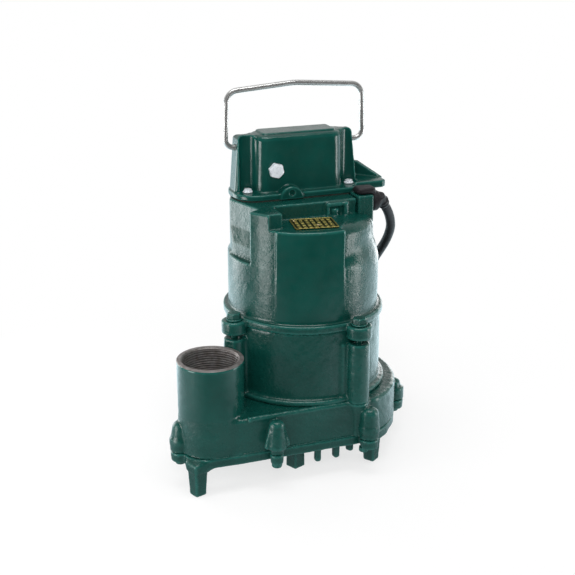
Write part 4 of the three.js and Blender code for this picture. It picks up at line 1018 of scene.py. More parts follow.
# ---------------------------------------------------------------- adapter
def adapter():
    bottom = VOLUTE_TOP + SEAT
    solid = Casting((-87, -87, bottom - 6), (87, 87, ADAPTER_TOP), 1.2)
    solid.post((0, 0), bottom, LIP_LOW - 0.5, ADAPTER_RADIUS + 0.4, ADAPTER_RADIUS, edge=0.6, seam=0)
    solid.post((0, 0), bottom, ADAPTER_TOP + 6, ADAPTER_RADIUS - 0.9, edge=0.3, seam=0)
    ring_radius, ring_height = FOOT_RING
    solid.post((0, 0), bottom, bottom + ring_height, ring_radius, edge=1.6, seam=3.5)
    for at in BOLTS:
        solid.post(at, bottom, COLUMN_TOP, COLUMN_RADIUS + 0.4, COLUMN_RADIUS - 0.4, 1.0, 3.0)
        reach = math.hypot(*at)
        ux, uy = at[0] / reach, at[1] / reach
        solid.block(ADAPTER_RADIUS - 9, ADAPTER_RADIUS + 1.6, -13.5, 8, bottom, COLUMN_TOP - 1, 2.5, 1.5, 3,
                    turn=math.degrees(math.atan2(uy, ux)))
    solid.post((0, 0), bottom - 5.2, bottom + 2, CAVITY_RADIUS - 20.3, edge=0.4, seam=0)
    floor = bottom + 13.4
    solid.post((0, 0), floor, ADAPTER_TOP + 12, ADAPTER_RADIUS - 5.6, edge=2, seam=0.5, cut=True)
    solid.post((0, 0), floor - 2, floor + 12, 21, edge=0.8, seam=2)
    solid.hole((0, 0), floor + 1.7, floor + 14, 16.3)
    solid.hole((0, 0), bottom - 8, floor - 1, 12.9)
    solid.hole((0, 0), bottom - 9, bottom + 1, CAVITY_RADIUS - 28)
    solid.hole((0, 0), bottom - 4, floor + 10, 8.5)
    for at in BOLTS:
        solid.hole(at, bottom - 4, COLUMN_TOP + 4, BOLT_HOLE)
    solid.hole(DISCHARGE, bottom - 4, RIM_TOP + 8, RIM_RADIUS + 0.5, 1.0)
    solid.trim_above(ADAPTER_TOP)
    return enamelled(solid, "adapter_body", "adapter", CAST_SKIN, 31)


# ---------------------------------------------------------------- motor housing
PLATE_TURN = -9.0
STEP_AT = (HOUSING_LOW + 51.5, HOUSING_LOW + 56)
RIGHT_FLARE = (7.0, 14.0)
PILASTER = (206.3, 231.0)
FRONT_SHELL = (228.9, 280.5)
FRONT_SWELL = ([8, 86], [66.9, 68.4])
FLAT_BEARING = 196.8
FLAT_DEPTH = ([52, 63, 76], [61.2, 61.2, 55.5])
RECESS_RIGHT = 42.1
SHOULDER_CUT = (-48.0, -45.0)
SHOULDER_ROUND = 11.0
SHOULDER_LINE = ((14.0, -56.0), (39.0, -24.0))


def sector(x, y, start, end, radius):
    """A wedge of a disc between two bearings, in degrees."""
    mid, half = math.radians((start + end) / 2), math.radians((end - start) / 2)
    along = x * math.cos(mid) + y * math.sin(mid)
    beside = np.abs(y * math.cos(mid) - x * math.sin(mid))
    edge = beside * math.cos(half) - along * math.sin(half)
    return np.maximum(np.hypot(x, y) - radius, edge)


def housing_shell(x, y, z):
    """The motor's wall: a cylinder that steps in to a smaller one, and flares out more on the right."""
    flare = np.clip((x - 8) / 30, 0, 1)
    start = STEP_AT[0] - RIGHT_FLARE[0] * flare
    share = np.clip((z - start) / (STEP_AT[1] + RIGHT_FLARE[1] * flare - start), 0, 1)
    share = share * share * (3 - 2 * share)
    radius = HOUSING_RADIUS + (UPPER_RADIUS - HOUSING_RADIUS) * share
    reach = np.hypot(x - UPPER_CENTRE[0] * share, y - UPPER_CENTRE[1] * share)
    return slab(reach - radius, z, HOUSING_LOW - 6, HOUSING_TOP, 2.2)


def side_flat(x, y, z):
    """The flat recess beside the pilaster."""
    way, wall = math.radians(FLAT_BEARING), math.radians(PILASTER[0])
    depth = np.interp(z, HOUSING_LOW + np.array(FLAT_DEPTH[0]), FLAT_DEPTH[1])
    face = depth - x * math.cos(way) - y * math.sin(way)
    beside = y * math.cos(wall) - x * math.sin(wall)
    return np.maximum(np.maximum(face, beside), HOUSING_LOW + FLAT_DEPTH[0][0] - z)


def front_shell(x, y, z):
    """The proud part of the wall in front, under the ledge."""
    radius = np.interp(z, HOUSING_LOW + np.array(FRONT_SWELL[0]), FRONT_SWELL[1])
    return slab(sector(x, y, *FRONT_SHELL, radius), z, HOUSING_LOW, LEDGE_TOP + 4, 0.8)


def shoulder_round(x, y, z):
    """What the broad rounding takes off the ledge's edge, to the right of the front."""
    (x0, y0), (x1, y1) = SHOULDER_LINE
    run = math.hypot(x1 - x0, y1 - y0)
    left_of = ((x1 - x0) * (y - y0) - (y1 - y0) * (x - x0)) / run
    over = np.hypot(x - UPPER_CENTRE[0], y - UPPER_CENTRE[1]) - UPPER_RADIUS + SHOULDER_ROUND
    above = z - LEDGE_TOP + SHOULDER_ROUND
    rounded = np.hypot(np.maximum(over, 0), np.maximum(above, 0)) - SHOULDER_ROUND
    end = math.radians(FRONT_SHELL[1])
    before_end = x * math.sin(end) - y * math.cos(end) + 0.6
    return np.maximum(np.maximum(np.maximum(-rounded, left_of), np.maximum(1 - above, y - 1)), before_end)


def ear_plan(at):
    return lambda x, y: np.hypot(x - at[0], y - at[1]) - EAR[2]


def motor_housing():
    solid = Casting((-88, -88, EAR[0]), (88, 88, HOUSING_TOP), 1.2)
    solid.put(housing_shell, (-68, -68, HOUSING_LOW - 6), (68, 68, HOUSING_TOP), 0)
    solid.put(side_flat, (-70, -36, HOUSING_LOW + 52), (-48, 24, HOUSING_TOP), 1.0, cut=True)
    solid.raised(lambda x, y: sector(x, y, *PILASTER, HOUSING_RADIUS - 0.2), (-70, -62), (-20, -15),
                 HOUSING_LOW, HOUSING_TOP, 1.6, 0.8)
    solid.put(front_shell, (-55, -70, HOUSING_LOW), (20, -10, LEDGE_TOP + 4), 0.8)
    solid.trim_below(HOUSING_LOW, 0.3)
    solid.post((0, 0), LIP_LOW, LIP_TOP, LIP_RADIUS, edge=1.5, seam=2.0)
    solid.block(LEDGE_LEFT, 100, -100, LEDGE_BACK, LEDGE_TOP, HOUSING_TOP + 12, 3, 1.2, 1.6, cut=True)
    solid.block(RECESS_RIGHT, 100, -100, 2, LEDGE_TOP, HOUSING_TOP + 12, 1.5, 1.2, 1.2, cut=True)
    cut_x, cut_y = SHOULDER_CUT
    solid.block(cut_x, LEDGE_LEFT + 6, -100, cut_y, LEDGE_TOP, HOUSING_TOP + 12, 1.2, 0.8, 0.8, cut=True)
    solid.put(shoulder_round, (10, -72, LEDGE_TOP - 13), (72, 3, LEDGE_TOP + 3), 1.6, cut=True)
    for at in BOLTS:
        solid.raised(ear_plan(at), (at[0] - 12, at[1] - 12), (at[0] + 12, at[1] + 12),
                     EAR[0], EAR[1], 1.4, 2.4)
    inside = ADAPTER_RADIUS - 0.4
    solid.hole((0, 0), EAR[0] - 5, HOUSING_LOW, inside)
    for at in BOLTS:
        solid.post(at, EAR[1], LIP_TOP + 9, 7.6, edge=0.8, seam=1.0, cut=True)
        solid.hole(at, EAR[0] - 4, EAR[1] + 4, BOLT_HOLE)
    recess_details(solid)
    housing_hollows(solid)
    return enamelled(solid, "housing_body", "motor_housing", FINE_SKIN, 41, fine_front)


RECESS_ARCH = (14.0, 33.0, 4.2)


def fine_front(points):
    """The proud front of the motor's wall is cast finer than its sides."""
    bearing = np.degrees(np.arctan2(points[:, 1], points[:, 0])) % 360
    start, end = FRONT_SHELL
    within = np.minimum(bearing - start, end - bearing)
    return np.clip(within / 1.2, 0, 1) * (points[:, 2] < LEDGE_TOP + 1) * (points[:, 2] > LIP_TOP - 1)


def recess_details(solid):
    """A cast arch and a lump on the back wall of the recess, under the cap's flange."""
    left, right, wide = RECESS_ARCH
    front, back = LEDGE_BACK - 4.6, LEDGE_BACK + 4
    solid.block(left - 1, left + 2, front + 1.6, back, LEDGE_TOP - 1, HOUSING_TOP - 2, 1.2, 0.8, 1.2)
    solid.block(right - wide, right, front, back, LEDGE_TOP - 1, HOUSING_TOP - 1.4, 1.8, 1.2, 1.6)
    solid.block(left, right - 1, front + 1.2, back, HOUSING_TOP - 4.6, HOUSING_TOP - 1.2, 1.2, 1.0, 1.2)
    solid.post((21, LEDGE_BACK - 0.6), LEDGE_TOP - 1, HOUSING_TOP - 6.4, 3.6, edge=1.4, seam=1.6)


def housing_hollows(solid):
    bore_top = LEDGE_TOP - 6
    bearing = low("upper_bearing")[2]
    for top, radius in ((HOUSING_LOW + 62.6, 58.4), (HOUSING_LOW + 74, 54.0), (bore_top, 50.0)):
        solid.post((0, 0), HOUSING_LOW - 8, top, radius, edge=1, seam=0.5, cut=True)
    solid.post((0, 0), bearing - 1, bore_top + 2, 18, edge=0.5, seam=1.0)
    solid.hole((0, 0), bearing - 4, bearing + 8.3, 13.3)
    solid.hole((0, 0), bearing, bore_top + 4, 8.5)
    solid.bar((50, *GLAND_AXIS), (90, *GLAND_AXIS), 11.1, 0, 0.3, cut=True)
    for x, y in CAP_SCREWS:
        solid.hole((x, y), HOUSING_TOP - 9, HOUSING_TOP + 4, CAP_SCREW_HOLE)


# ---------------------------------------------------------------- cap
CAP_HALF = (60.0, 25.6, 21.0)
BLOCK_HALF = (40.5, 17.0)
CHEEK_HALF = (56.8, 9.6)
CHEEK_TAPER = 3.7
CHEEK_SHIFT = -1.4
NOTCH_RADIUS = 7.2
SIDE_LUG = [(50, 0.7), (77, 0.7), (80.6, 3.6), (80.6, 12), (63, 31.4), (54, 36)]
BADGE = (-12.6, 11.0)


def cap_plan(half_x, half_y, corner):
    """A rounded outline about the cap's centre."""
    return lambda x, y: oblong(x, y - CAP_Y, half_x, half_y, corner)


def side_lug(solid):
    bottom = CAP_LOW + 0.8
    solid.raised(lambda x, y: polygon(x, y, SIDE_LUG) - 0.2, (48, 0), (82, 36),
                 bottom, bottom + 6.6, 1.4, 1.5)
    tip, root = np.array(SIDE_LUG[3]), np.array(SIDE_LUG[4])
    run = (root - tip) / np.linalg.norm(root - tip)
    length = np.linalg.norm(root - tip)

    def web(x, y, z):
        along = (x - tip[0]) * run[0] + (y - tip[1]) * run[1]
        beside = np.abs((x - tip[0]) * run[1] - (y - tip[1]) * run[0] - 2.0) - 2.0
        height = polygon(along, z, [(0.5, bottom + 3), (length + 9, bottom + 3), (length + 9, bottom + 19),
                                    (length - 1, bottom + 19), (0.5, bottom + 6.6)])
        return slab(height, beside, -50, 0, 1.2)

    solid.put(web, (50, 0, bottom), (84, 44, bottom + 22), 1.6)


def fine_cap(points):
    """The cap is cast fine all over, though less so than the housing's front."""
    return CAP_FINENESS + 0 * points[:, 0]


def terminal_cap():
    solid = Casting((-63, -7, CAP_LOW), (84, 48, CAP_TOP + 2), 0.85)
    taper = 1.4

    def upright(half, round_corner, edge, narrowing=0.0, aside=0.0):
        def form(x, y, z):
            share = np.clip((z - FLANGE_TOP) / (CAP_TOP - FLANGE_TOP), 0, 1)
            outline = oblong(x - aside, y - CAP_Y, half[0] - narrowing * share, half[1], round_corner)
            return slab(outline + taper * share, z, CAP_LOW, CAP_TOP, edge)
        return form

    root = 0.7
    solid.put(upright((BLOCK_HALF[0] + root, BLOCK_HALF[1] + root), 11.5, 4.4),
              (-42, CAP_Y - 18, CAP_LOW), (42, CAP_Y + 18, CAP_TOP), 0)
    cheek = (CHEEK_HALF[0] + root, CHEEK_HALF[1] + root)
    solid.put(upright(cheek, 4.0, 3.6, CHEEK_TAPER - taper, CHEEK_SHIFT),
              (-60, CAP_Y - 11, CAP_LOW), (58, CAP_Y + 11, CAP_TOP), 1.6)
    solid.block(-34, 34, CAP_Y - 11.5, CAP_Y + 11.5, CAP_TOP - 4, CAP_TOP + 1.8, 4, 1.2, 1.2)
    side_lug(solid)
    for x, y in CAP_SCREWS:
        solid.hole((x, y), FLANGE_TOP - 0.5, CAP_TOP + 9, NOTCH_RADIUS, 1.2)
    solid.raised(cap_plan(*CAP_HALF), (-60, CAP_Y - 26), (60, CAP_Y + 26),
                 CAP_LOW, FLANGE_TOP, 1.3, 2.0)
    badge_x, badge_radius = BADGE
    front = CAP_Y - CAP_HALF[1]
    solid.bar((badge_x, front - 1.4, CAP_LOW), (badge_x, CAP_Y - BLOCK_HALF[1] + 2, CAP_LOW),
              badge_radius, 1.6, 1.5)
    dimple = CAP_LOW + 5.4
    solid.bar((badge_x, front - 4, dimple), (badge_x, front + 0.4, dimple), 2.6, 0.3, 0.6, cut=True)
    cap_hollows(solid)
    solid.trim_below(CAP_LOW)
    return enamelled(solid, "cap_body", "terminal_cap", CAP_SKIN, 51, fine_cap)


def cap_hollows(solid):
    wall = 4.2
    solid.block(wall - BLOCK_HALF[0], BLOCK_HALF[0] - wall, CAP_Y + wall - BLOCK_HALF[1],
                CAP_Y + BLOCK_HALF[1] - wall, CAP_LOW - 6, CAP_TOP - wall, 3, 2, 0.5, cut=True)
    bolt = middle("plug_bolt")
    solid.bar((bolt[0], CAP_Y - 24, bolt[2]), (bolt[0], CAP_Y - 8, bolt[2]), 3.8, 0, 0.3, cut=True)
    for side in (-1, 1):
        solid.bar((side * 50.6, CAP_Y, PIVOT), (side * 70, CAP_Y, PIVOT), WIRE + 0.4, 0, 0.3, cut=True)
    for x, y in CAP_SCREWS:
        solid.hole((x, y), CAP_LOW - 5, FLANGE_TOP + 4, CAP_SCREW_HOLE)


# ---------------------------------------------------------------- gland block and strain relief
def gland_block():
    lowest, highest = low("gland_block") - SHAFT, high("gland_block") - SHAFT
    solid = Casting(lowest - [0, 0, 9], highest, 0.6)
    solid.block(lowest[0], highest[0], lowest[1], highest[1], lowest[2] - 9, highest[2], 1.6, 1.4, 0)
    solid.bar((lowest[0] - 3, *GLAND_AXIS), (highest[0] + 3, *GLAND_AXIS), 5, 0, 0.3, cut=True)
    solid.raised(cap_plan(60.4, 26, 21.4), (-60, CAP_Y - 26), (60, CAP_Y + 26),
                 CAP_LOW - 0.8, FLANGE_TOP + 2, 0, 0, cut=True)
    return enamelled(solid, "gland_body", "gland_block", FINE_SKIN, 61)


def strain_relief():
    block_end = high("gland_block")[0] - SHAFT[0]
    block_top = high("gland_block")[2]
    face = block_end + SEAT
    solid = Casting((42, -26, 214), (82, -1, 247), 0.6)
    solid.bar((face, *GLAND_AXIS), (face + 8, *GLAND_AXIS), 9.2, 3.0, 0)
    solid.block(43, face + 4, GLAND_AXIS[0] - 8, GLAND_AXIS[0] + 8,
                block_top + SEAT, block_top + 5.6, 5, 2.4, 3)
    start = np.array(CORD_ROUTE[0], float)
    run = np.array(CORD_ROUTE[1]) - start
    run /= np.linalg.norm(run)
    solid.bar(start - run * 13, start - run * 0.3, 4.9, 0.5, 4)
    solid.bar(start - run * 3.4, start - run * 1.8, 5.4, 0.6, 0.8)
    solid.bar(start - run * 6.8, start - run * 5.2, 5.8, 0.6, 0.8)
    solid.raised(cap_plan(61, 26.6, 22), (-60, CAP_Y - 27), (60, CAP_Y + 27),
                 HOUSING_TOP - 1, FLANGE_TOP + 9, 0, 0.3, cut=True)
    solid.block(38, 92, 0.2, 40, CAP_LOW - 3, CAP_TOP, 0.5, 0, 0.3, cut=True)
    piece = solid.piece("relief_moulding", CORD_RUBBER, 0.04, 71)
    return carried(piece, "cord_rubber", "pump", "strain_relief")


# ---------------------------------------------------------------- bail
def bent_wire(corners, bends, step=1.6):
    """Straight runs between corners, each corner rounded to its bend radius."""
    corners = [np.array(c, float) for c in corners]
    line = [corners[0]]
    for before, corner, after, bend in zip(corners, corners[1:], corners[2:], bends):
        enter = (before - corner) / np.linalg.norm(before - corner)
        leave = (after - corner) / np.linalg.norm(after - corner)
        half = math.acos(np.clip(enter @ leave, -1, 1)) / 2
        back = bend / math.tan(half)
        middle_way = (enter + leave) / np.linalg.norm(enter + leave)
        centre = corner + middle_way * bend / math.sin(half)
        first, last = corner + enter * back, corner + leave * back
        sweep = math.pi - 2 * half
        count = max(4, round(bend * sweep / step))
        u = (first - centre) / bend
        v = (last - centre) / bend - u * math.cos(sweep)
        v /= np.linalg.norm(v)
        for angle in np.linspace(0, sweep, count + 1):
            line.append(centre + bend * (u * math.cos(angle) + v * math.sin(angle)))
    line.append(corners[-1])
    fine = [line[0]]
    for a, b in zip(line, line[1:]):
        count = max(1, round(np.linalg.norm(b - a) / step))
        fine += [a + (b - a) * (k + 1) / count for k in range(count)]
    return np.array(fine)


def bail_handle():
    right = [(51.2, 0), (64.8, -0.4), (62.6, 48.2)]
    corners = [(-x, CAP_Y, PIVOT + z) for x, z in right] + [(-1.0, CAP_Y, PIVOT + 52.9)]
    corners += [(x, CAP_Y, PIVOT + z) for x, z in reversed(right)]
    line = bent_wire(corners, [7.5, 10.5, 60, 10.5, 7.5])
    return carried(tube("bail_wire", line, WIRE, 24, STAINLESS), "stainless_wire", "bail", "bail_handle")


# ---------------------------------------------------------------- screws, bolts and rivets
def turned_form(rings, sides=36, hexes=()):
    """Rings of (radius, height), joined and closed; the rings in hexes have six flats."""
    points = []
    for index, (radius, height) in enumerate(rings):
        for step in range(sides):
            angle = 2 * math.pi * step / sides
            reach = radius
            if index in hexes:
                within = (angle + math.pi / 6) % (math.pi / 3) - math.pi / 6
                reach = min(radius, hexes[index] / math.cos(within))
            points.append((reach * math.cos(angle), reach * math.sin(angle), height))
    faces = ring_faces(len(rings), sides)
    faces.append(tuple(reversed(range(sides))))
    faces.append(tuple(range((len(rings) - 1) * sides, len(rings) * sides)))
    return points, faces


def form_object(name, rings, hexes, finish, sides=36):
    points, faces = turned_form(rings, sides, hexes)
    piece = mesh_piece(name, np.array(points) - SHAFT, faces, finish)
    keep_sharp(piece, 28)
    return piece


def fastener_tree():
    """The same fastener on each point, each turned by its own seeded angle."""
    tree, given, result = input_tree("set_fasteners", {
        "Form": ("NodeSocketObject", None), "Tilt": ("NodeSocketVector", None),
        "Seed": ("NodeSocketInt", 1), "Finish": ("NodeSocketMaterial", None),
    })
    form = tree.nodes.new("GeometryNodeObjectInfo")
    spin = tree.nodes.new("FunctionNodeRandomValue")
    spin.data_type = "FLOAT_VECTOR"
    spin.inputs["Min"].default_value = (0, 0, 0)
    spin.inputs["Max"].default_value = (0, 0, 2 * math.pi)
    place = tree.nodes.new("GeometryNodeInstanceOnPoints")
    tilt = tree.nodes.new("GeometryNodeRotateInstances")
    real = tree.nodes.new("GeometryNodeRealizeInstances")
    paint = tree.nodes.new("GeometryNodeSetMaterial")
    join_up(tree, [
        (given, "Geometry", place, "Points"), (given, "Form", form, "Object"),
        (form, "Geometry", place, "Instance"), (given, "Seed", spin, "Seed"),
        (spin, 0, place, "Rotation"), (place, "Instances", tilt, "Instances"),
        (given, "Tilt", tilt, "Rotation"), (tilt, "Instances", real, "Geometry"),
        (real, "Geometry", paint, "Geometry"), (given, "Finish", paint, "Material"),
        (paint, "Geometry", result, "Geometry"),
    ])
    return tree


def fasteners(name, places, form, finish, seed, tilt=0.0):
    piece = grown(FASTENERS, name, seed_points(name + "_places", places), {
        "Form": form, "Tilt": (tilt, 0.0, 0.0), "Seed": seed,
    }, finish)
    bpy.data.objects.remove(form)
    return piece


def hex_rings(flats, height, washer=0.0, shank=0.0, shank_radius=0.0):
    """The rings of a chamfered hexagon head, over a washer face and a shank."""
    corner = flats / 0.866
    rings, hexes = [], {}
    if shank:
        rings += [(shank_radius - 0.4, -shank), (shank_radius, -shank + 0.5), (shank_radius, 0)]
    if washer:
        rings += [(washer - 0.15, 0), (washer, 0.2), (washer, 0.9), (washer - 0.35, 1.15)]
    base = 1.15 if washer else 0.0
    for radius, up in ((corner, base), (corner, height - 1.0), (corner - 0.35, height - 0.55),
                       (flats - 0.1, height - 0.12), (flats - 0.9, height)):
        hexes[len(rings)] = flats
        rings.append((radius, up))
    rings.append((0.4, height - 0.15))
    return rings, hexes


def screw_set(name, places, seat, head, finish, slot, seed, tilt=0.0):
    """Hexagon screws or bolts at these places, with their heads on the seat's height."""
    one = name[:-1]
    rings, hexes = hex_rings(*head)
    form = form_object(one + "_form", rings, hexes, finish)
    piece = fasteners(name, [(x, y, seat) for x, y in places], form, finish, seed, tilt)
    return carried(piece, slot, "pump", *[f"{one}_{n}" for n in range(1, len(places) + 1)])


def cap_screws():
    head = (3.1, 3.1, 4.3, 13, 2.3)
    return screw_set("cap_screws", CAP_SCREWS, FLANGE_TOP + SEAT, head, ZINC, "zinc_steel", 4)


def through_bolts():
    seat = EAR[1] + SEAT
    head = (5.3, 6.2, 6.9, seat - VOLUTE_TOP + 9, 3.0)
    return screw_set("through_bolts", BOLTS, seat, head, ENAMEL, "green_enamel", 7)


def base_screws():
    head = (4.0, 3.7, 0.0, 14, 2.6)
    return screw_set("base_screws", LUGS, LEG_HEIGHT - SEAT, head, ENAMEL, "green_enamel", 9, math.pi)


def plate_rivets():
    seat = [0, 0, high("nameplate")[2] + SEAT]
    places = [middle(f"nameplate_rivet_{n}") * [1, 1, 0] + seat for n in (1, 2)]
    rings = [(1.5, 0), (1.48, 0.3), (1.3, 0.7), (0.95, 0.98), (0.4, 1.1)]
    form = form_object("rivet_form", rings, {}, BRASS_PLATE, 24)
    piece = fasteners("plate_rivets", places, form, PLUG_BRASS, 3)
    return carried(piece, "brass_plate", "pump", "nameplate_rivet_1", "nameplate_rivet_2")


def plug_bolt():
    """The large hexagon bolt on the cap's front; its axis lies along Y."""
    rings, hexes = hex_rings(5.9, 4.7, 0.0, 6.5, 3.4)
    points, faces = turned_form(rings, 48, hexes)
    points = np.array(points)
    seat = high("plug_bolt")[1] - SHAFT[1] - 6.5
    at = middle("plug_bolt")
    spin = math.radians(14)
    x = points[:, 0] * math.cos(spin) - points[:, 1] * math.sin(spin)
    y = points[:, 0] * math.sin(spin) + points[:, 1] * math.cos(spin)
    turned = np.stack([at[0] + x, seat - points[:, 2], at[2] + y], axis=1)
    piece = mesh_piece("plug_bolt_head", turned, faces, ZINC)
    keep_sharp(piece, 28)
    return carried(piece, "zinc_steel", "pump", "plug_bolt")


# ---------------------------------------------------------------- nameplate
PLATE_HALF = (19, 15)
FIELD_HALF = (17.9, 13.9)
FIELD_DEPTH = 0.35
STAMP_COUNT = (7, 4)
STAMP_START = (-14.4, -10.6)
STAMP_GAP = (4.8, 7.1)
STAMP_HALF = (1.5, 2.7)


def nameplate():
    """A stamped plate with a raised edge and blank raised columns, with no words on it."""
    centre = middle("nameplate")
    bottom, top = low("nameplate")[2], high("nameplate")[2]
    solid = Casting(low("nameplate") - SHAFT, high("nameplate") - SHAFT, 0.3)
    ground = top - FIELD_DEPTH

    def turned_block(x, y, half, low_end, high_end, corner, edge, seam, cut=False):
        solid.block(x - half[0], x + half[0], y - half[1], y + half[1], low_end, high_end,
                    corner, edge, seam, cut, PLATE_TURN, centre)

    turned_block(0, 0, PLATE_HALF, bottom, ground, 2, 0.1, 0)
    turned_block(0, 0, PLATE_HALF, bottom, top, 2, 0.15, 0.1)
    turned_block(0, 0, FIELD_HALF, ground, top + 2, 1.2, 0.1, 0.1, cut=True)
    for column in range(STAMP_COUNT[0]):
        x = STAMP_START[0] + column * STAMP_GAP[0]
        for row in range(STAMP_COUNT[1]):
            y = STAMP_START[1] + row * STAMP_GAP[1]
            turned_block(x, y, STAMP_HALF, bottom, top, 0.4, 0.12, 0.05)
    return carried(solid.piece("plate_stamping", BRASS_PLATE, 0.0, 81), "brass_plate", "pump", "nameplate")


# ---------------------------------------------------------------- plug
def plug_form(solid, start):
    """The moulded plug: a ribbed neck, a waist for the fingers and a square nose."""
    def place(forward, aside=0.0, up=0.0):
        return start + AHEAD * forward + ACROSS * aside + np.array([0, 0, up])

    def body(x, y, z):
        dx, dy, dz = x - start[0], y - start[1], z - start[2]
        along = dx * AHEAD[0] + dy * AHEAD[1]
        aside = dx * ACROSS[0] + dy * ACROSS[1]
        swell = np.interp(along, [14, 20, 28, 38, 46, 52], [8.5, 11.5, 10.6, 12.6, 13.4, 13.4])
        return slab(oblong(aside, dz, swell, swell * 0.93, 5.0), along, 17.3, 51.0, 2.2)

    ends = np.array([place(15, -14, -13), place(53, 14, 13)])
    solid.put(body, ends.min(0) - 6, ends.max(0) + 6, 0)
    solid.bar(place(0.4), place(20), 6.2, 0.8, 4)
    for ring in range(4):
        solid.bar(place(2.2 + ring * 3.9), place(4.4 + ring * 3.9), 7.2 + 0.25 * ring, 0.9, 0.7)
    for rib in range(4):
        for side in (-1, 1):
            at = 24.5 + rib * 3.4
            solid.bar(place(at, side * 13.4, -5.5), place(at, side * 13.4, 5.5), 1.7, 0.8, 0.5, cut=True)
    for aside, up, radius in ((-6.35, 3, 3.4), (6.35, 3, 3.4), (0, -7.5, 2.8)):
        solid.bar(place(42, aside, up), place(56, aside, up), radius, 0, 0.1, cut=True)


def cord_plug():
    start = cord_line[-1].copy()
    lowest = low("cord_plug") - SHAFT
    highest = high("cord_plug") - SHAFT
    solid = Casting(lowest - 1, highest + 1, 0.75)
    plug_form(solid, start)
    return carried(solid.piece("plug_moulding", CORD_RUBBER, 0.03, 91), "cord_rubber", "pump", "cord_plug")


# ---------------------------------------------------------------- parts carried over from the frame
def finish_nodes():
    finishes = {
        "base_gasket": ENAMEL, "cap_gasket": FIBRE, "housing_seal": SEAL_RUBBER,
        "stator_core": LAMINATED, "rotor_core": LAMINATED, "upper_winding": COPPER, "lower_winding": COPPER,
        "rotor_shaft": GROUND, "upper_bearing": GROUND, "lower_bearing": GROUND, "impeller": RAW_IRON,
        "seal_seat": CARBON, "seal_head": CARBON, "seal_spring": STAINLESS, "terminal_block": PLASTIC,
        "plug_blade_left": PLUG_BRASS, "plug_blade_right": PLUG_BRASS, "plug_ground_pin": PLUG_BRASS,
    }
    for node, finish in finishes.items():
        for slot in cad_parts[node].material_slots:
            slot.material = finish


# ---------------------------------------------------------------- room, light and background
TO_CAMERA = (-0.3499, -0.9368, 0.0)
TO_RIGHT = (0.9368, -0.3499, 0.0)


def rising(tree, source, start, end, first, last):
    """A value that goes from first to last as the source goes from start to end."""
    ranged = tree.nodes.new("ShaderNodeMapRange")
    for socket, value in zip(("From Min", "From Max", "To Min", "To Max"), (start, end, first, last)):
        ranged.inputs[socket].default_value = value
    tree.links.new(source, ranged.inputs["Value"])
    return ranged.outputs["Result"]


def along(tree, source, way):
    """How far a place or a direction lies along a fixed way in the room."""
    measured = tree.nodes.new("ShaderNodeVectorMath")
    measured.operation = "DOT_PRODUCT"
    measured.inputs[1].default_value = way
    tree.links.new(source, measured.inputs[0])
    return measured.outputs["Value"]


def floor_and_room():
    """A pale floor; polished things see it dark in front of the pump, as if black card lay there."""
    size = 6.0
    data = bpy.data.meshes.new("floor")
    corners = [(-size, -size, 0), (size, -size, 0), (size, size, 0), (-size, size, 0)]
    data.from_pydata(corners, [], [(0, 1, 2, 3)])
    floor = in_scene("floor", data)
    pale = Finish("pale_floor", Roughness=0.9, Specular_IOR_Level=0.1)
    pale.shader.inputs["Base Color"].default_value = (0.93, 0.93, 0.93, 1)
    glow = pale.node("ShaderNodeEmission")
    rim = pale.node("ShaderNodeVectorMath", operation="LENGTH")
    pale.link(pale.place, rim.inputs[0])
    share = pale.spread(rim.outputs["Value"], 0.16, 0.42, 0.70, 1.0)
    lit = pale.node("ShaderNodeMixShader")
    pale.link(share, lit.inputs["Fac"])
    pale.link(pale.shader.outputs["BSDF"], lit.inputs[1])
    pale.link(glow.outputs["Emission"], lit.inputs[2])
    # For polished things the floor glows as painted light: dark in front, bright behind the pump, and in two
    # painted pools of lamp light to its sides, tinted blue.
    mirrored = pale.node("ShaderNodeEmission")
    mirrored.inputs["Color"].default_value = (0.74, 0.93, 1.0, 1)
    behind = rising(pale.tree, along(pale.tree, pale.place, TO_CAMERA), -0.20, 0.02, 1.4, 0.0)
    aside = pale.maths("ABSOLUTE", along(pale.tree, pale.place, TO_RIGHT), 0.0)
    pool = pale.maths("MULTIPLY", rising(pale.tree, rim.outputs["Value"], 0.30, 0.54, 1.0, 0.0),
                      rising(pale.tree, aside, 0.11, 0.30, 0.36, 1.35))
    pale.link(pale.maths("ADD", behind, pool), mirrored.inputs["Strength"])
    rays = pale.node("ShaderNodeLightPath")
    chosen = pale.node("ShaderNodeMixShader")
    pale.link(rays.outputs["Is Glossy Ray"], chosen.inputs["Fac"])
    pale.link(lit.outputs["Shader"], chosen.inputs[1])
    pale.link(mirrored.outputs["Emission"], chosen.inputs[2])
    pale.link(chosen.outputs["Shader"], pale.tree.nodes["Material Output"].inputs["Surface"])
    data.materials.append(pale.material)


ROOM_LIGHT = 0.40


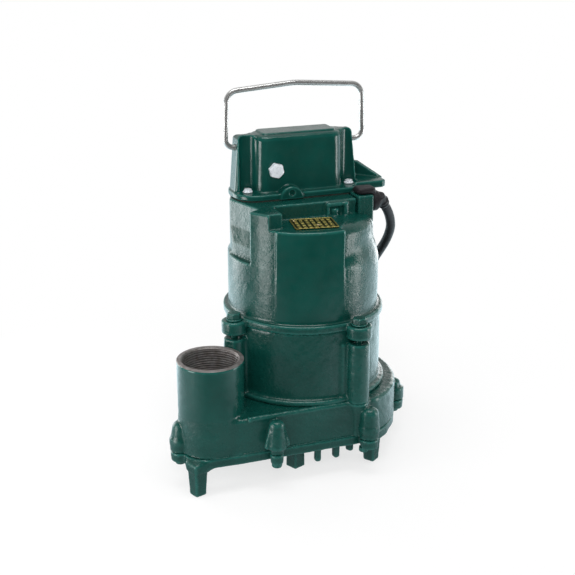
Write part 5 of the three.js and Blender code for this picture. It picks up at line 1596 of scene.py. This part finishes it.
def studio_world():
    """White to the camera and behind the pump, dark in front of it, and plain to matt surfaces."""
    world = bpy.data.worlds.new("studio")
    world.use_nodes = True
    bpy.context.scene.world = world
    tree = world.node_tree
    background = tree.nodes["Background"]
    background.inputs["Color"].default_value = (1, 1, 1, 1)
    rays = tree.nodes.new("ShaderNodeLightPath")
    seen = tree.nodes.new("ShaderNodeMath")
    seen.operation = "MAXIMUM"
    tree.links.new(rays.outputs["Is Camera Ray"], seen.inputs[0])
    tree.links.new(rays.outputs["Is Transmission Ray"], seen.inputs[1])
    plain = rising(tree, seen.outputs["Value"], 0, 1, ROOM_LIGHT, 1.0)
    way = tree.nodes.new("ShaderNodeTexCoord")
    mirrored = rising(tree, along(tree, way.outputs["Generated"], TO_CAMERA), -0.5, 0.3, 0.65, 0.01)
    chosen = tree.nodes.new("ShaderNodeMix")
    tree.links.new(rays.outputs["Is Glossy Ray"], chosen.inputs[0])
    tree.links.new(plain, chosen.inputs[2])
    tree.links.new(mirrored, chosen.inputs[3])
    tree.links.new(chosen.outputs[0], background.inputs["Strength"])


def soft_lamp(name, place, target, size, power, mirrored=True):
    """A soft lamp that the camera doesn't see, and polished things don't where it isn't mirrored."""
    lamp = bpy.data.lights.new(name, "AREA")
    lamp.shape = "RECTANGLE"
    lamp.size, lamp.size_y = size
    lamp.energy = power
    holder = in_scene(name, lamp)
    holder.location = Vector(place)
    holder.rotation_mode = "QUATERNION"
    holder.rotation_quaternion = (Vector(target) - Vector(place)).to_track_quat("-Z", "Y")
    holder.visible_camera = False
    holder.visible_glossy = mirrored


# The side lamps: name, place about the shaft, width and height in metres, and power in watts.
SIDE_LAMPS = [
    ("left_softbox", (-497, -105, 135), (0.16, 0.29), 0.86),
    ("left_back_softbox", (-390, 370, 150), (0.30, 0.32), 0.95),
    ("right_softbox", (440, -238, 135), (0.13, 0.29), 0.68),
    ("right_back_softbox", (456, 364, 150), (0.26, 0.32), 0.65),
]


def lights():
    aim = np.array([0.02, 0.0, 0.15])
    low_aim = aim * [1, 1, 0.9]
    for name, place, size, power in SIDE_LAMPS:
        soft_lamp(name, in_frame(place), low_aim, size, power)
    soft_lamp("top_softbox", (-0.08, -0.2, 1.3), aim, (0.9, 0.45), 6.0)
    soft_lamp("front_fill", (-0.45, -1.1, 0.9), aim, (0.6, 0.6), 7.0, mirrored=False)


# ---------------------------------------------------------------- building it all
HELIX = helix_tree()
FASTENERS = fastener_tree()

base_plate()
volute()
discharge_rim()
adapter()
motor_housing()
terminal_cap()
gland_block()
relief = strain_relief()
bail_handle()
cap_screws()
through_bolts()
base_screws()
plate_rivets()
plug_bolt()
nameplate()
plug = cord_plug()
finish_nodes()
floor_and_room()
studio_world()
lights()
bpy.context.scene.view_settings.view_transform = "Standard"
